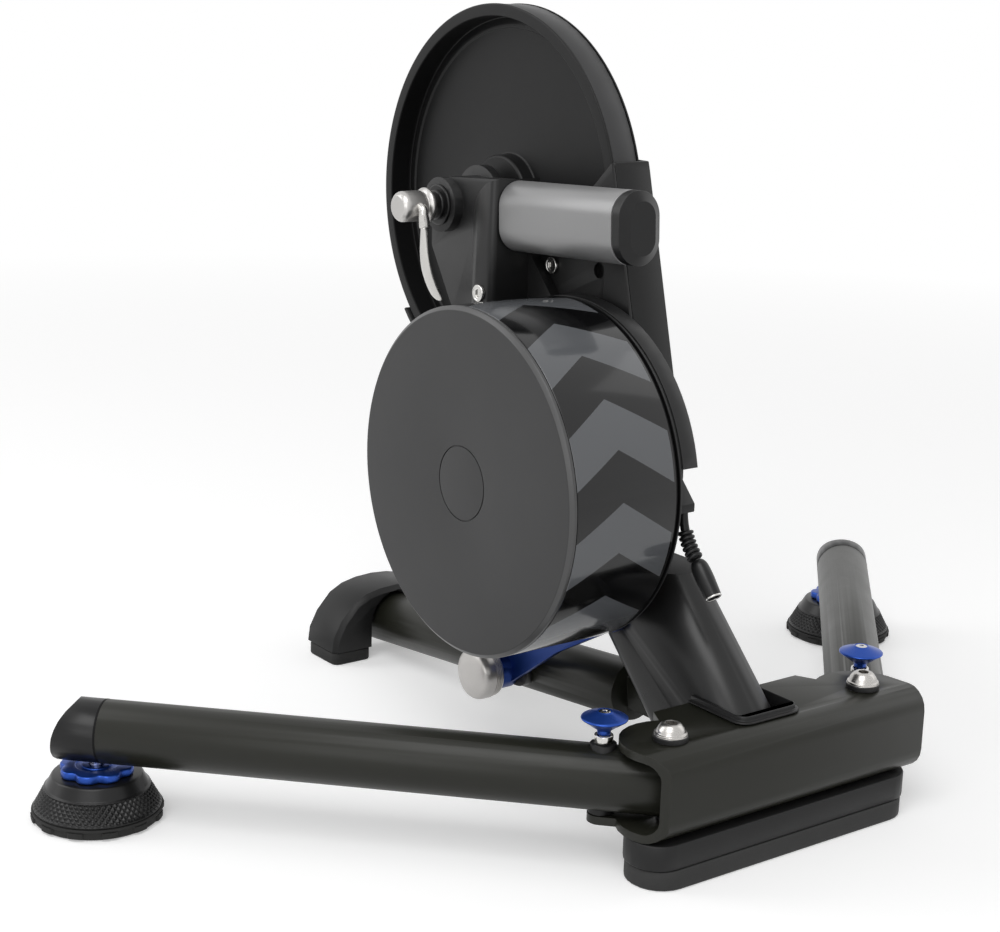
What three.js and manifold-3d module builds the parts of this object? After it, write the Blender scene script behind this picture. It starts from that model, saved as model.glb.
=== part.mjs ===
// Direct drive bike trainer, built as an assembly of named meshes.
// Millimetres, +X to the drive side, +Y the way the bike faces, +Z up.
// While the pieces are laid out, Y runs forward from the rear face of the bracket.
// The whole is then moved so that its origin is the centre of the footprint on the floor.
import * as THREE from "three";
import { mergeVertices } from "three/addons/utils/BufferGeometryUtils.js";
import Module from "manifold-3d";

const wasm = await Module();
wasm.setup();

// General values
const gap = 0.3;
const overrun = 4;
const fineSteps = 48;
const arcSteps = 10;
const fineArcSteps = 12;
const oblongSteps = 6;
const hexSides = 6;
const strutEndDegrees = 60;
const pinSpans = 23;
const pinLastDegrees = 345;
const roundSteps = 32;
const smallSteps = 16;
const tinySteps = 10;
const cornerSteps = 5;

// Rear bracket, a bent steel channel that is open to the front
const bracketWall = 5;
const bracketTop = 81;
const bracketBottom = 28;
const bracketDepth = 62;
const bracketBend = 14;
const wallLeft = 97;
const wallRight = 109;
const earRadius = 29.5;
const earFrontHalf = 58;
const earFromDegrees = 118;
const earRightDegrees = 0;
const earLeftDegrees = -50;

// Slot in the top plate and its raised bezel
const slotWide = 46.5;
const slotX = -6.3;
const slotRear = 16;
const slotLong = 70;
const bezelWall = 2;
const bezelRise = 4.8;
const bezelFoot = 1.6;
const slotCorner = 7;

// Rear stand: plastic holder and rubber pad
const padHalfWidth = 105;
const padDepth = 40;
const padHeight = 12;
const holderInset = 0.8;
const holderProud = 1.6;
const padCorner = 19;

// Folding legs
const foldX = 78;
const foldY = 24;
const splayDegrees = 45.9;
const legRadius = 19.2;
const legWall = 2.4;
const legAxisZ = 54.5;
const legStart = -19;
const legTail = 15.5;
const legHollow = 12;
const capSlant = 8;
const capEndShares = [
  [0.4, -1],
  [0.69, -0.885],
  [0.9, -0.73],
  [0.92, -0.5],
  [0.85, -0.26],
  [0.74, 0],
  [0.55, 0.26],
  [0.29, 0.52],
  [-0.1, 0.78],
  [-0.59, 1],
];
const capSpigot = 22;
const boltHeadRadius = 9;
const boltHeadHeight = 7;
const boltHeadEdge = 3.2;
const boltCollarRadius = 10.2;
const boltCollarHeight = 3.5;
const boltShank = 6;
const boltSocket = 3.5;
const boltSocketDepth = 4;
const boltNutRadius = 9;
const boltNutHeight = 5;

// Lock pin of each leg
const lockReach = 38;
const lockSleeveRadius = 7.8;
const lockSleeveProud = 1.8;
const lockPinRadius = 3.2;
const lockTongueRadius = 8;
const sleeveFloat = 0.6;
const sleeveWell = 4;
const pinPoint = 1;
const lockKnobRadius = 13.7;
const lockKnobLow = 84.4;
const lockKnobRim = 89.9;
const lockKnobRimThick = 1.6;
const lockKnobTop = 95.2;
const lockKnobCrown = 4;
const lockStemRadius = 4;
const ferruleRadius = 5.6;
const ferruleHeight = 5;

// Round feet at the leg ends
const footReach = 342;
const capBefore = 5.5;
const capBeyond = 15;
const footRadius = 39.3;
const rubberHeight = 7;
const rubberTaper = 1.8;
const knurlHeight = 13.7;
const coneHeight = 7;
const coneTopRadius = 27;
const knurlTopRadius = 31;
const footShoulder = 0.7;
const footSocketDepth = 10;
const footWheelRadius = 22.5;
const footWheelHeight = 5;
const footWheelLobes = 8;
const footWheelDip = 2.2;
const footScrewRadius = 4.5;
const tabCount = 12;
const tabWide = 9;
const tabHigh = 3;
const tabProud = 0.5;
const tabDeep = 2;

// Centre tube, its spine and the front foot
const centreTubeRadius = 19;
const tubeX = -4;
const centreTubeWall = 2.6;
const centreTubeStart = 142;
const centreTubeEnd = 446;
const centreRearZ = 57.3;
const centreSlope = -0.111;
const spineHalfWidth = 6;
const spineX = -3.5;
const spineHalfHeight = 10;
const spinePlug = 12;
const frontFootY = 413;
const frontFootDepth = 38;
const frontFootHalf = 55;
const frontFootHigh = 53;
const frontArchShares = [
  [1, 0],
  [0.975, 0.245],
  [0.86, 0.52],
  [0.66, 0.795],
  [0.47, 0.92],
  [0.25, 0.98],
  [0, 1],
];
const frontBevel = 3;
const frontBevelDepth = 4;
const frontMouthClear = 4;
const frontMouthDepth = 9;
const frontPadHeight = 9;
const frontArchClear = 0.6;

// Mast, an oblong tube that leans forward on a cross bolt
const mastX = -7;
const mastWide = 40;
const mastDeep = 77;
const mastWall = 4;
const mastCorner = 19;
const mastLeanDegrees = 45;
const mastPivotY = 54.7;
const mastPivotZ = 58;
const mastTopZ = 150;
const mastBottomZ = 38;
const mastMouth = 74;
const mastRearMouth = -3;
const mouthClear = 1.5;
const mastRearLimit = 20.5;
const mastFoot = 60;
const mastHollow = 90;
const pivotBoltRadius = 6;
const pivotHeadRadius = 9.5;
const pivotHeadHeight = 3;

// Height strut and clamp knob
const strutX = -27.6;
const strutThick = 4.6;
const strutTopInset = 12.754;
const strutTopDegrees = 250.843;
const strutLowY = 247;
const strutTopRadius = 13;
const strutLowRadius = 13.5;
const strutBoss = 8;
const strutWaist = 8;
const strutWaistShare = 0.5;
const strutScrewRadius = 4;
const strutHeadRadius = 7;
const strutHeadHeight = 3;
const railLength = 60;
const railY = 253.6;
const railBack = 27.3;
const railSeat = 12;
const railTravel = 34;
const railLip = 4;
const railSlotClear = 0.8;
const railNutRadius = 6;
const railNutThick = 4;
const railHigh = 22;
const knobRadius = 17.5;
const knobLength = 18;
const knobCrown = 4;
const knobRibs = 30;
const knobRibDepth = 0.6;
const knobBand = 9;
const knobCrownStep = 1.2;
const knobRibShare = 0.45;
const knobScrewRadius = 4;

// Flywheel, its housing and the parts inside
const wheelY = 167.5;
const wheelZ = 204.8;
const wheelRadius = 105.7;
const wheelRimThick = 19;
const wheelCoverX = -125.5;
const wheelGapX = -46.8;
const wheelGap = 1.6;
const coverThick = 4;
const coverChamfer = 2.6;
const coverGroove = 0.8;
const webThick = 5;
const wheelCapRadius = 23;
const wheelShaftRadius = 8.5;
const shaftProud = 0.6;
const statorClear = 6.7;
const statorOuter = wheelRadius - wheelRimThick - statorClear;
const statorDeep = 28;
const statorInner = statorOuter - statorDeep;
const statorThick = 26;
const statorLeft = -88;
const statorRing = 10;
const statorPoles = 8;
const statorPoleWide = 26;
const housingFlange = 4;
const housingDiscInset = 28.7;
const housingDisc = wheelRadius - housingDiscInset;
const housingLip = 8;
const housingFront = -20;
const housingEndDegrees = 11.4;
const housingChamfer = 2.5;
const shaftBore = 9.6;

// Power socket, the short lead and its connector
const socketX = -34;
const socketWide = 14;
const socketInset = 7.7;
const socketY = wheelY - wheelRadius + socketInset;
const socketDeep = 19;
const socketZ = 196.9;
const socketHigh = 31;
const socketSlack = 0.2;
const socketTip = 5.1;
const socketSlope = 12.5;
const socketShelf = 18.1;
const nozzleShare = 0.4;
const leadRadius = 3.6;
const leadX = -32.5;
const leadInset = 1.7;
const leadBendBack = 11.2;
const leadEndBack = 28.2;
const leadStartY = socketY + leadInset;
const leadStartZ = 195.7;
const leadBendY = leadStartY - leadBendBack;
const leadBendZ = 171;
const leadEndY = leadStartY - leadEndBack;
const leadEndZ = 152;
const ribProud = 1.1;
const ribCount = 6;
const ribShare = 0.55;
const connectorRadius = 5.2;
const connectorGapShare = 0.055;
const connectorRing = 5.6;
const connectorRingLength = 3;

// Hub axis, pulley, belt, belt guard and small pulley
const hubY = 288;
const hubZ = 353.5;
const pulleyLeft = -20;
const pulleyRight = 2;
const pulleyRadius = 126.2;
const flangeThick = 1.6;
const dishRim = 8;
const webX = -4.5;
const webPlate = 3;
const beadInset = 15.2;
const beadRadius = pulleyRadius - beadInset;
const beadProud = 1;
const bossRadius = 30;
const bossLeft = -15;
const beltSink = 0.6;
const beltThick = 2.6;
const smallPulleyRadius = 19;
const guardClear = 2.4;
const guardWall = 2.4;
const guardTopZ = 391;
const guardCutInset = 38.2;
const guardCutY = hubY - pulleyRadius + guardCutInset;
const guardFrontY = 420;
const guardFrontZ = 245;
const backTopInset = 0.2;
const backTopY = hubY - pulleyRadius + backTopInset;
const backLowY = 300;
const backLowZ = 262;
const backHoleRadius = 5;
const backHoleY = 170;
const backHoleZ = 325;
const guardRight = 5.6;
const guardFootRadius = 51;
const backplateThick = 2.2;
const backplateX = -24.2;
const guardBandGap = 0.6;

// Body casting, dropout arm and carry handle
const castingRight = -24.6;
const castingLeftPlate = -31.3;
const castingRightLow = -27.5;
const armLeft = -61;
const armThick = 12;
const armInset = 6;
const neckRearRound = 5;
const neckFrontRound = 13;
const hubBossRadius = 17.5;
const hubBossLeft = -61.6;
const neckRearY = 231.5;
const neckTopZ = 375;
const neckLowZ = 300;
const neckDrop = 20;
const neckFrontY = 259.6;
const neckBendZ = 322;
const neckShoulderShares = [
  [1, 0],
  [0.97, 0.25],
  [0.88, 0.48],
  [0.72, 0.68],
  [0.5, 0.84],
  [0.26, 0.94],
  [0, 1],
];
const neckRound = 6;
const armDiagonalLowY = 281;
const armDiagonalLowZ = 288;
const armDiagonalHighY = 305;
const armDiagonalHighZ = 325;
const beamHalf = 40;
const beamEnd = 24;
const tongueRear = 24;
const tongueFront = 2;
const tongueFrom = 88;
const tongueOverlap = 11.6;
const strutClear = 1.5;
const wheelClear = 6;
const handleX = -41.5;
const handleWide = 31;
const handleHigh = 44;
const handleZ = 352;
const handleLength = 110;
const handleCapLength = 11;
const handleCapBase = 3;
const handleCapBevel = 4;
const handleTiltDegrees = 3.2;
const neckScrewRadius = 5.5;
const neckScrewProud = 2.4;
const screwOneClear = 17.6;
const screwOneDegrees = 52.9;
const screwTwoY = 215;
const screwTwoZ = 322;

// Hub: axle, end caps, freehub, cassette and skewer
const axleRadius = 7.5;
const axleBore = 3;
const dropoutHalf = 66;
const endCapRadius = 13;
const endCapStep = 9.5;
const endCapStepThick = 2.4;
const freehubRadius = 16.5;
const freehubLeft = 16;
const freehubRight = 58;
const freehubFlange = 21;
const cassetteStart = 20;
const sprocketTeeth = [28, 25, 23, 21, 19, 17, 15, 14, 13, 12, 11];
const sprocketPitch = 3.3;
const sprocketThick = 1.8;
const chainPitch = 12.7;
const toothDepth = 3.4;
const toothFlankShare = 0.28;
const spacerRadius = 19;
const skewerRadius = 2.5;
const skewerHeadLeft = -94;
const skewerHeadRight = -71;
const headEdge = 1.5;
const skewerHeadRadius = 9.8;
const skewerFlange = 11.4;
const skewerFlangeThick = 2.2;
const skewerNutRight = 81;
const skewerNutRadius = 9;
const skewerNutThick = 10;
const leverLength = 66;
const leverNeckRadius = 3.6;
const leverPaddleWide = 13;
const leverPaddleThick = 4.4;
const leverPivotX = -81;
const leverPinRadius = 3;
const leverDisc = 3;
const leverBow = 15;

// Materials
function finish(name, colour, roughness, metalness) {
  const material = new THREE.MeshStandardMaterial({ color: colour, roughness, metalness });
  material.name = name;
  return material;
}
const paintedSteel = finish("painted_steel", 0x24241f, 0.42, 0.5);
const blackCasting = finish("black_casting", 0x161616, 0.45, 0.3);
const blackPlastic = finish("black_plastic", 0x1a1a1a, 0.5, 0);
const blackRubber = finish("black_rubber", 0x111111, 0.8, 0);
const coverGrey = finish("cover_grey", 0x2a2a2b, 0.4, 0.2);
const rimGloss = finish("rim_gloss", 0x17181a, 0.2, 0.3);
const blueAnodised = finish("blue_anodised", 0x1f47b0, 0.3, 0.7);
const brightSteel = finish("bright_steel", 0xc9c7c2, 0.22, 1);
const gripGrey = finish("grip_grey", 0x8b8c8e, 0.5, 0.1);
const copperCoil = finish("copper_coil", 0x9a5b32, 0.4, 0.8);

// Solids from three.js geometry, joined and cut with manifold-3d
function solidOf(geometry) {
  const bare = geometry.index ? geometry.toNonIndexed() : geometry.clone();
  for (const key of Object.keys(bare.attributes)) {
    if (key !== "position") bare.deleteAttribute(key);
  }
  const merged = mergeVertices(bare, 1e-4);
  const place = merged.attributes.position.array;
  const kept = [];
  for (let i = 0; i < merged.index.count; i += 3) {
    const [a, b, c] = [0, 1, 2].map((k) => merged.index.getX(i + k));
    if (a !== b && b !== c && a !== c) kept.push(a, b, c);
  }
  let volume = 0;
  const corner = [new THREE.Vector3(), new THREE.Vector3(), new THREE.Vector3()];
  for (let i = 0; i < kept.length; i += 3) {
    corner.forEach((v, k) => v.fromArray(place, kept[i + k] * 3));
    volume += corner[0].dot(corner[1].clone().cross(corner[2]));
  }
  if (volume < 0) {
    for (let i = 0; i < kept.length; i += 3) [kept[i], kept[i + 1]] = [kept[i + 1], kept[i]];
  }
  const mesh = new wasm.Mesh({ numProp: 3, vertProperties: place, triVerts: new Uint32Array(kept) });
  return new wasm.Manifold(mesh);
}

function geometryOf(solid) {
  const mesh = solid.getMesh();
  const geometry = new THREE.BufferGeometry();
  geometry.setAttribute("position", new THREE.BufferAttribute(new Float32Array(mesh.vertProperties), 3));
  geometry.setIndex(new THREE.BufferAttribute(new Uint32Array(mesh.triVerts), 1));
  geometry.computeVertexNormals();
  return geometry;
}

function join(...solids) {
  return solids.reduce((whole, piece) => whole.add(piece));
}

function cut(solid, ...tools) {
  return tools.reduce((whole, tool) => whole.subtract(tool), solid);
}

// Plain shapes. An outline is a list of [across, up] points.
const alongX = new THREE.Matrix4().makeBasis(
  new THREE.Vector3(0, 1, 0),
  new THREE.Vector3(0, 0, 1),
  new THREE.Vector3(1, 0, 0),
);
const alongY = new THREE.Matrix4().makeBasis(
  new THREE.Vector3(1, 0, 0),
  new THREE.Vector3(0, 0, 1),
  new THREE.Vector3(0, -1, 0),
);

function shapeOf(outline) {
  return new THREE.Shape(outline.map(([a, b]) => new THREE.Vector2(a, b)));
}

function plate(outline, thickness) {
  return new THREE.ExtrudeGeometry(shapeOf(outline), { depth: thickness, bevelEnabled: false, steps: 1 });
}

// Outline in X and Y, raised from one height to another
function slabZ(outline, low, high) {
  return solidOf(plate(outline, high - low).translate(0, 0, low));
}

// Outline in Y and Z, swept from one X to another
function slabX(outline, left, right) {
  return solidOf(plate(outline, right - left).applyMatrix4(alongX).translate(left, 0, 0));
}

// Outline in X and Z, swept from one Y to another
function slabY(outline, rear, front) {
  return solidOf(plate(outline, front - rear).applyMatrix4(alongY).translate(0, front, 0));
}

function box(x0, x1, y0, y1, z0, z1) {
  const geometry = new THREE.BoxGeometry(x1 - x0, y1 - y0, z1 - z0);
  return solidOf(geometry.translate((x0 + x1) / 2, (y0 + y1) / 2, (z0 + z1) / 2));
}

// A turned piece: profile of [radius, height] points round +Z, from the axis to the axis or closed
function turned(profile, steps = roundSteps) {
  const points = profile.map(([r, h]) => new THREE.Vector2(r, h));
  const closed = profile[0][0] > 0;
  if (closed) points.push(points[0].clone());
  return new THREE.LatheGeometry(points, steps).rotateX(Math.PI / 2);
}

function turnedZ(profile, x, y, steps) {
  return solidOf(turned(profile, steps).translate(x, y, 0));
}

// The same round an axis along X: heights become X
function turnedX(profile, y, z, steps) {
  return solidOf(turned(profile, steps).rotateY(Math.PI / 2).translate(0, y, z));
}

function discZ(radius, low, high, x, y, steps) {
  return turnedZ([[0, low], [radius, low], [radius, high], [0, high]], x, y, steps);
}

function discX(radius, left, right, y, z, steps) {
  return turnedX([[0, left], [radius, left], [radius, right], [0, right]], y, z, steps);
}

function ringX(outer, inner, left, right, y, z, steps) {
  return turnedX([[inner, left], [outer, left], [outer, right], [inner, right]], y, z, steps);
}

// Points on an arc about a centre, angles in degrees
function arc(a, b, radius, from, to, steps = cornerSteps) {
  const points = [];
  for (let i = 0; i <= steps; i += 1) {
    const angle = THREE.MathUtils.degToRad(from + ((to - from) * i) / steps);
    points.push([a + radius * Math.cos(angle), b + radius * Math.sin(angle)]);
  }
  return points;
}

// Rounds the corners of an outline. Each corner is [a, b, radius].
function rounded(corners, steps = cornerSteps) {
  const points = [];
  corners.forEach(([a, b, radius = 0], i) => {
    if (radius === 0) {
      points.push([a, b]);
      return;
    }
    const here = new THREE.Vector2(a, b);
    const before = corners[(i + corners.length - 1) % corners.length];
    const after = corners[(i + 1) % corners.length];
    const toBefore = new THREE.Vector2(before[0], before[1]).sub(here).normalize();
    const toAfter = new THREE.Vector2(after[0], after[1]).sub(here).normalize();
    const half = Math.acos(THREE.MathUtils.clamp(toBefore.dot(toAfter), -1, 1)) / 2;
    const reach = radius / Math.tan(half);
    const middle = toBefore.clone().add(toAfter).normalize();
    const centre = here.clone().addScaledVector(middle, radius / Math.sin(half));
    const start = here.clone().addScaledVector(toBefore, reach).sub(centre);
    const end = here.clone().addScaledVector(toAfter, reach).sub(centre);
    const turn = Math.atan2(start.cross(end), start.dot(end));
    for (let k = 0; k <= steps; k += 1) {
      const spot = start.clone().rotateAround(new THREE.Vector2(), (turn * k) / steps).add(centre);
      points.push([spot.x, spot.y]);
    }
  });
  return points;
}

function oblong(centreA, centreB, wide, high, radius, steps) {
  const [a, b] = [wide / 2, high / 2];
  const corners = [
    [centreA - a, centreB - b, radius],
    [centreA + a, centreB - b, radius],
    [centreA + a, centreB + b, radius],
    [centreA - a, centreB + b, radius],
  ];
  return rounded(corners, steps);
}

// Solid between two outlines of equal count in X and Z, one at each Y
function loftY(startOutline, endOutline, startY, endY) {
  const count = startOutline.length;
  const points = [
    ...startOutline.map(([a, b]) => [a, startY, b]),
    ...endOutline.map(([a, b]) => [a, endY, b]),
  ];
  const faces = THREE.ShapeUtils.triangulateShape(
    startOutline.map(([a, b]) => new THREE.Vector2(a, b)),
    [],
  );
  const endFaces = THREE.ShapeUtils.triangulateShape(
    endOutline.map(([a, b]) => new THREE.Vector2(a, b)),
    [],
  );
  const index = faces.flatMap(([a, b, c]) => [a, b, c]);
  index.push(...endFaces.flatMap(([a, b, c]) => [c + count, b + count, a + count]));
  for (let i = 0; i < count; i += 1) {
    const j = (i + 1) % count;
    index.push(j, i, i + count, j, i + count, j + count);
  }
  const geometry = new THREE.BufferGeometry();
  geometry.setAttribute("position", new THREE.Float32BufferAttribute(points.flat(), 3));
  geometry.setIndex(index);
  return solidOf(geometry);
}

// Scene graph
const trainer = new THREE.Group();
trainer.name = "direct_drive_trainer";
const layout = new THREE.Group();
trainer.add(layout);

function add(name, solid, material, parent = layout) {
  const mesh = new THREE.Mesh(geometryOf(solid), material);
  mesh.name = name;
  parent.add(mesh);
  return mesh;
}

// Outline that wraps a circle on the hub axis and a circle on the wheel axis
function wrapOutline(hubReach, wheelReach, steps = fineSteps) {
  const acrossY = wheelY - hubY;
  const acrossZ = wheelZ - hubZ;
  const distance = Math.hypot(acrossY, acrossZ);
  const heading = THREE.MathUtils.radToDeg(Math.atan2(acrossZ, acrossY));
  const open = THREE.MathUtils.radToDeg(Math.acos((hubReach - wheelReach) / distance));
  const big = arc(hubY, hubZ, hubReach, heading + open, heading + 360 - open, steps);
  const small = arc(wheelY, wheelZ, wheelReach, heading - open, heading + open, Math.round(steps / 3));
  return [...big, ...small];
}

// A copy of a solid under a matrix
function moved(solid, matrix) {
  return solidOf(geometryOf(solid).applyMatrix4(matrix));
}

// Top pivot of the height strut, under the wheel on the mast
const strutTopReach = wheelRadius - strutTopInset;
const strutTopAngle = THREE.MathUtils.degToRad(strutTopDegrees);
const strutTopY = wheelY + strutTopReach * Math.cos(strutTopAngle);
const strutTopZ = wheelZ + strutTopReach * Math.sin(strutTopAngle);

// Rear bracket
function plateOutline() {
  const right = [
    [earFrontHalf, bracketDepth],
    ...arc(foldX, foldY, earRadius, earFromDegrees, earRightDegrees, arcSteps),
    [wallRight, foldY / 2],
    [wallRight, 0],
  ];
  const left = [
    [-wallLeft, 0],
    ...arc(-foldX, foldY, earRadius, 180 - earLeftDegrees, 180 - earFromDegrees, fineArcSteps),
    [-earFrontHalf, bracketDepth],
  ];
  return [...right, ...left];
}
const bendOuter = bracketBend;
const bendInner = bracketBend - bracketWall;
const profileOuter = rounded([
  [0, bracketBottom, bendOuter],
  [bracketDepth + overrun, bracketBottom],
  [bracketDepth + overrun, bracketTop],
  [0, bracketTop, bendOuter],
]);
const profileInner = rounded([
  [bracketWall, bracketBottom + bracketWall, bendInner],
  [bracketDepth + 2 * overrun, bracketBottom + bracketWall],
  [bracketDepth + 2 * overrun, bracketTop - bracketWall],
  [bracketWall, bracketTop - bracketWall, bendInner],
]);
const channel = slabX(profileOuter, -wallRight, wallRight)
  .subtract(slabX(profileInner, -wallRight - overrun, wallRight + overrun))
  .intersect(slabZ(plateOutline(), 0, bracketTop + overrun));
const slotHole = slabZ(
  oblong(slotX, slotRear + slotLong / 2, slotWide, slotLong, slotCorner),
  bracketTop - 2 * bracketWall,
  bracketTop + overrun,
);
const shankHole = boltShank + gap;
function bothSides(x, make) {
  return [make(-x), make(x)];
}
const lockAngle = THREE.MathUtils.degToRad(splayDegrees);
const lockX = foldX + lockReach * Math.cos(lockAngle);
const lockY = foldY + lockReach * Math.sin(lockAngle);
const lowPlateTop = bracketBottom + bracketWall;
const tongueOutline = [
  [0, -lockTongueRadius],
  ...arc(lockReach, 0, lockTongueRadius, -90, 90, arcSteps),
  [0, lockTongueRadius],
];
const tongueSolid = slabZ(tongueOutline, bracketBottom, lowPlateTop);
const tongueTurns = [
  [1, splayDegrees],
  [1, 90],
  [-1, 180 - splayDegrees],
  [-1, 90],
];
const tongues = tongueTurns.map(([side, degrees]) => {
  const turn = new THREE.Matrix4().makeRotationZ(THREE.MathUtils.degToRad(degrees));
  const place = new THREE.Matrix4().makeTranslation(side * foldX, foldY, 0);
  return moved(tongueSolid, place.multiply(turn));
});
const lockHoles = [-1, 1].flatMap((side) => [
  discZ(lockPinRadius + gap, 0, lowPlateTop + overrun, side * lockX, lockY, tinySteps),
  discZ(lockPinRadius + gap, 0, lowPlateTop + overrun, side * foldX, foldY + lockReach, tinySteps),
]);
const boltHoles = bothSides(foldX, (x) => discZ(shankHole, 0, bracketTop + overrun, x, foldY, smallSteps));
const bracket = cut(join(channel, ...tongues), slotHole, ...boltHoles, ...lockHoles);
add("rear_bracket", bracket, paintedSteel);

// Raised bezel of the slot
const bezelOuter = oblong(
  slotX,
  slotRear + slotLong / 2,
  slotWide - 2 * gap,
  slotLong - 2 * gap,
  slotCorner,
);
const bezelFlange = oblong(
  slotX,
  slotRear + slotLong / 2,
  slotWide + 2 * bezelWall,
  slotLong + 2 * bezelWall,
  slotCorner + bezelWall,
);
const bezelInner = oblong(
  slotX,
  slotRear + slotLong / 2,
  slotWide - 2 * bezelWall,
  slotLong - 2 * bezelWall,
  slotCorner - bezelWall,
);
const bezel = join(
  slabZ(bezelOuter, bracketTop - bracketWall, bracketTop + bezelRise),
  slabZ(bezelFlange, bracketTop + gap, bracketTop + gap + bezelFoot),
).subtract(
  join(
    slabZ(bezelInner, 0, bracketTop + bezelRise + overrun),
    box(-wallRight, wallRight, bracketDepth, 2 * bracketDepth, 0, 2 * bracketTop),
  ),
);
add("slot_bezel", bezel, blackPlastic);

// Plastic holder and rubber pad below the bracket
const padOuter = oblong(0, padDepth / 2, 2 * padHalfWidth, padDepth, padCorner, oblongSteps);
const holderOuter = oblong(
  0,
  padDepth / 2,
  2 * (padHalfWidth + holderProud),
  padDepth - 2 * holderInset,
  padCorner - holderInset,
  oblongSteps,
);
const nutRooms = bothSides(foldX, (x) =>
  discZ(
    boltNutRadius + 2 * gap,
    bracketBottom - boltNutHeight - 2 * gap,
    bracketBottom,
    x,
    foldY,
    smallSteps,
  ),
);
const pinRooms = bothSides(foldX, (x) =>
  discZ(lockPinRadius + 2 * gap, bracketBottom - overrun, bracketBottom, x, foldY + lockReach, tinySteps),
);
const holder = cut(
  slabZ(holderOuter, padHeight + gap, bracketBottom - gap),
  ...nutRooms,
  ...pinRooms,
);
add("pad_holder", holder, blackPlastic);
const pad = slabZ(padOuter, 0, padHeight);
add("rear_pad", pad, blackRubber);

// Centre tube with the bar that joins it to the bracket
const tubeAt = (y) => centreRearZ + centreSlope * (y - centreTubeStart);
const tubeTilt = Math.atan(centreSlope);
const tubeLength = (centreTubeEnd - centreTubeStart) / Math.cos(tubeTilt);
const tubePlace = new THREE.Matrix4()
  .makeTranslation(tubeX, centreTubeStart, centreRearZ)
  .multiply(new THREE.Matrix4().makeRotationX(tubeTilt));
function alongTube(profile, steps) {
  return solidOf(turned(profile, steps).rotateX(-Math.PI / 2).applyMatrix4(tubePlace));
}
const tubeBody = alongTube(
  [
    [0, 0],
    [centreTubeRadius, 0],
    [centreTubeRadius, tubeLength],
    [centreTubeRadius - centreTubeWall, tubeLength],
    [centreTubeRadius - centreTubeWall, spinePlug],
    [0, spinePlug],
  ],
  roundSteps,
);
const spineOutline = [
  [bracketWall + gap, centreRearZ - spineHalfHeight],
  [centreTubeStart + overrun, centreRearZ - spineHalfHeight],
  [centreTubeStart + overrun, centreRearZ + spineHalfHeight],
  [bracketWall + gap, centreRearZ + spineHalfHeight],
];
const railMatrix = new THREE.Matrix4()
  .makeTranslation(0, railY, tubeAt(railY))
  .multiply(new THREE.Matrix4().makeRotationX(tubeTilt));
const nutRoom = oblong(
  0,
  0,
  railTravel + 2 * (railNutRadius + gap),
  2 * (railNutRadius + gap),
  railNutRadius,
  4,
);
const nutWindow = moved(slabX(nutRoom, -railBack + railLip, tubeX - railNutRadius), railMatrix);
const spine = slabX(spineOutline, spineX - spineHalfWidth, spineX + spineHalfWidth);
const pivotBore = discX(pivotBoltRadius + gap, -wallRight, wallRight, mastPivotY, mastPivotZ, smallSteps);
add("centre_tube", cut(join(cut(tubeBody, nutWindow), spine), pivotBore), paintedSteel);

// Front foot: an arched saddle over the tube, on a rubber pad
const frontRear = frontFootY;
const frontFront = frontFootY + frontFootDepth;
function frontArch(inset) {
  const base = frontPadHeight + gap;
  const right = frontArchShares.map(([across, up]) => [
    tubeX + (frontFootHalf - inset) * across,
    base + (frontFootHigh - inset - base) * up,
  ]);
  const left = right.slice(0, -1).map(([a, b]) => [2 * tubeX - a, b]);
  return [...right, ...left.reverse()];
}
const frontArchHalf = centreTubeRadius + frontArchClear;
const archOutline = [
  [tubeX - frontArchHalf, 0],
  [tubeX + frontArchHalf, 0],
  [tubeX + frontArchHalf, tubeAt(frontFront)],
  [tubeX - frontArchHalf, tubeAt(frontFront)],
];
const frontMouth = centreTubeRadius + frontMouthClear;
const mouthOutline = [
  [tubeX + frontMouth, 0],
  ...arc(tubeX, tubeAt(frontRear), frontMouth, 0, 180, arcSteps),
  [tubeX - frontMouth, 0],
];
const tubeRoom = alongTube(
  [
    [0, -overrun],
    [frontArchHalf, -overrun],
    [frontArchHalf, tubeLength + gap],
    [0, tubeLength + gap],
  ],
  roundSteps,
);
const saddle = cut(
  join(
    loftY(frontArch(0), frontArch(frontBevel), frontRear + frontBevelDepth, frontRear),
    slabY(frontArch(0), frontRear + frontBevelDepth, frontFront),
  ),
  slabY(archOutline, frontRear - overrun, frontFront + overrun),
  slabY(mouthOutline, frontRear - overrun, frontRear + frontMouthDepth),
  tubeRoom,
);
add("front_foot", saddle, blackPlastic);
for (const [name, side] of [["front_pad_left", -1], ["front_pad_right", 1]]) {
  const middle = tubeX + side * (frontFootHalf + frontMouth) / 2;
  const half = (frontFootHalf - frontMouth) / 2;
  const outline = oblong(middle, (frontRear + frontFront) / 2, 2 * half, frontFootDepth, half / 3, 3);
  add(name, slabZ(outline, 0, frontPadHeight), blackRubber);
}

// Slotted rail on the left of the tube, for the strut's clamp screw
const railOuter = oblong(0, 0, railLength, railHigh, railHigh / 2, oblongSteps);
const railSlot = oblong(
  0,
  0,
  railTravel + 2 * knobScrewRadius,
  2 * (knobScrewRadius + railSlotClear),
  knobScrewRadius,
  4,
);
const railRoom = oblong(
  0,
  0,
  railTravel + 2 * railNutRadius,
  2 * railNutRadius + 2 * gap,
  railNutRadius,
  4,
);
const railSolid = moved(
  cut(
    slabX(railOuter, -railBack, -railSeat),
    slabX(railSlot, -railBack - overrun, 0),
    slabX(railRoom, -railBack + railLip, 0),
  ),
  railMatrix,
).subtract(
  alongTube(
    [
      [0, -overrun],
      [centreTubeRadius + gap, -overrun],
      [centreTubeRadius + gap, tubeLength],
      [0, tubeLength],
    ],
    roundSteps,
  ),
);
add("slide_rail", railSolid, blackCasting);

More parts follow.
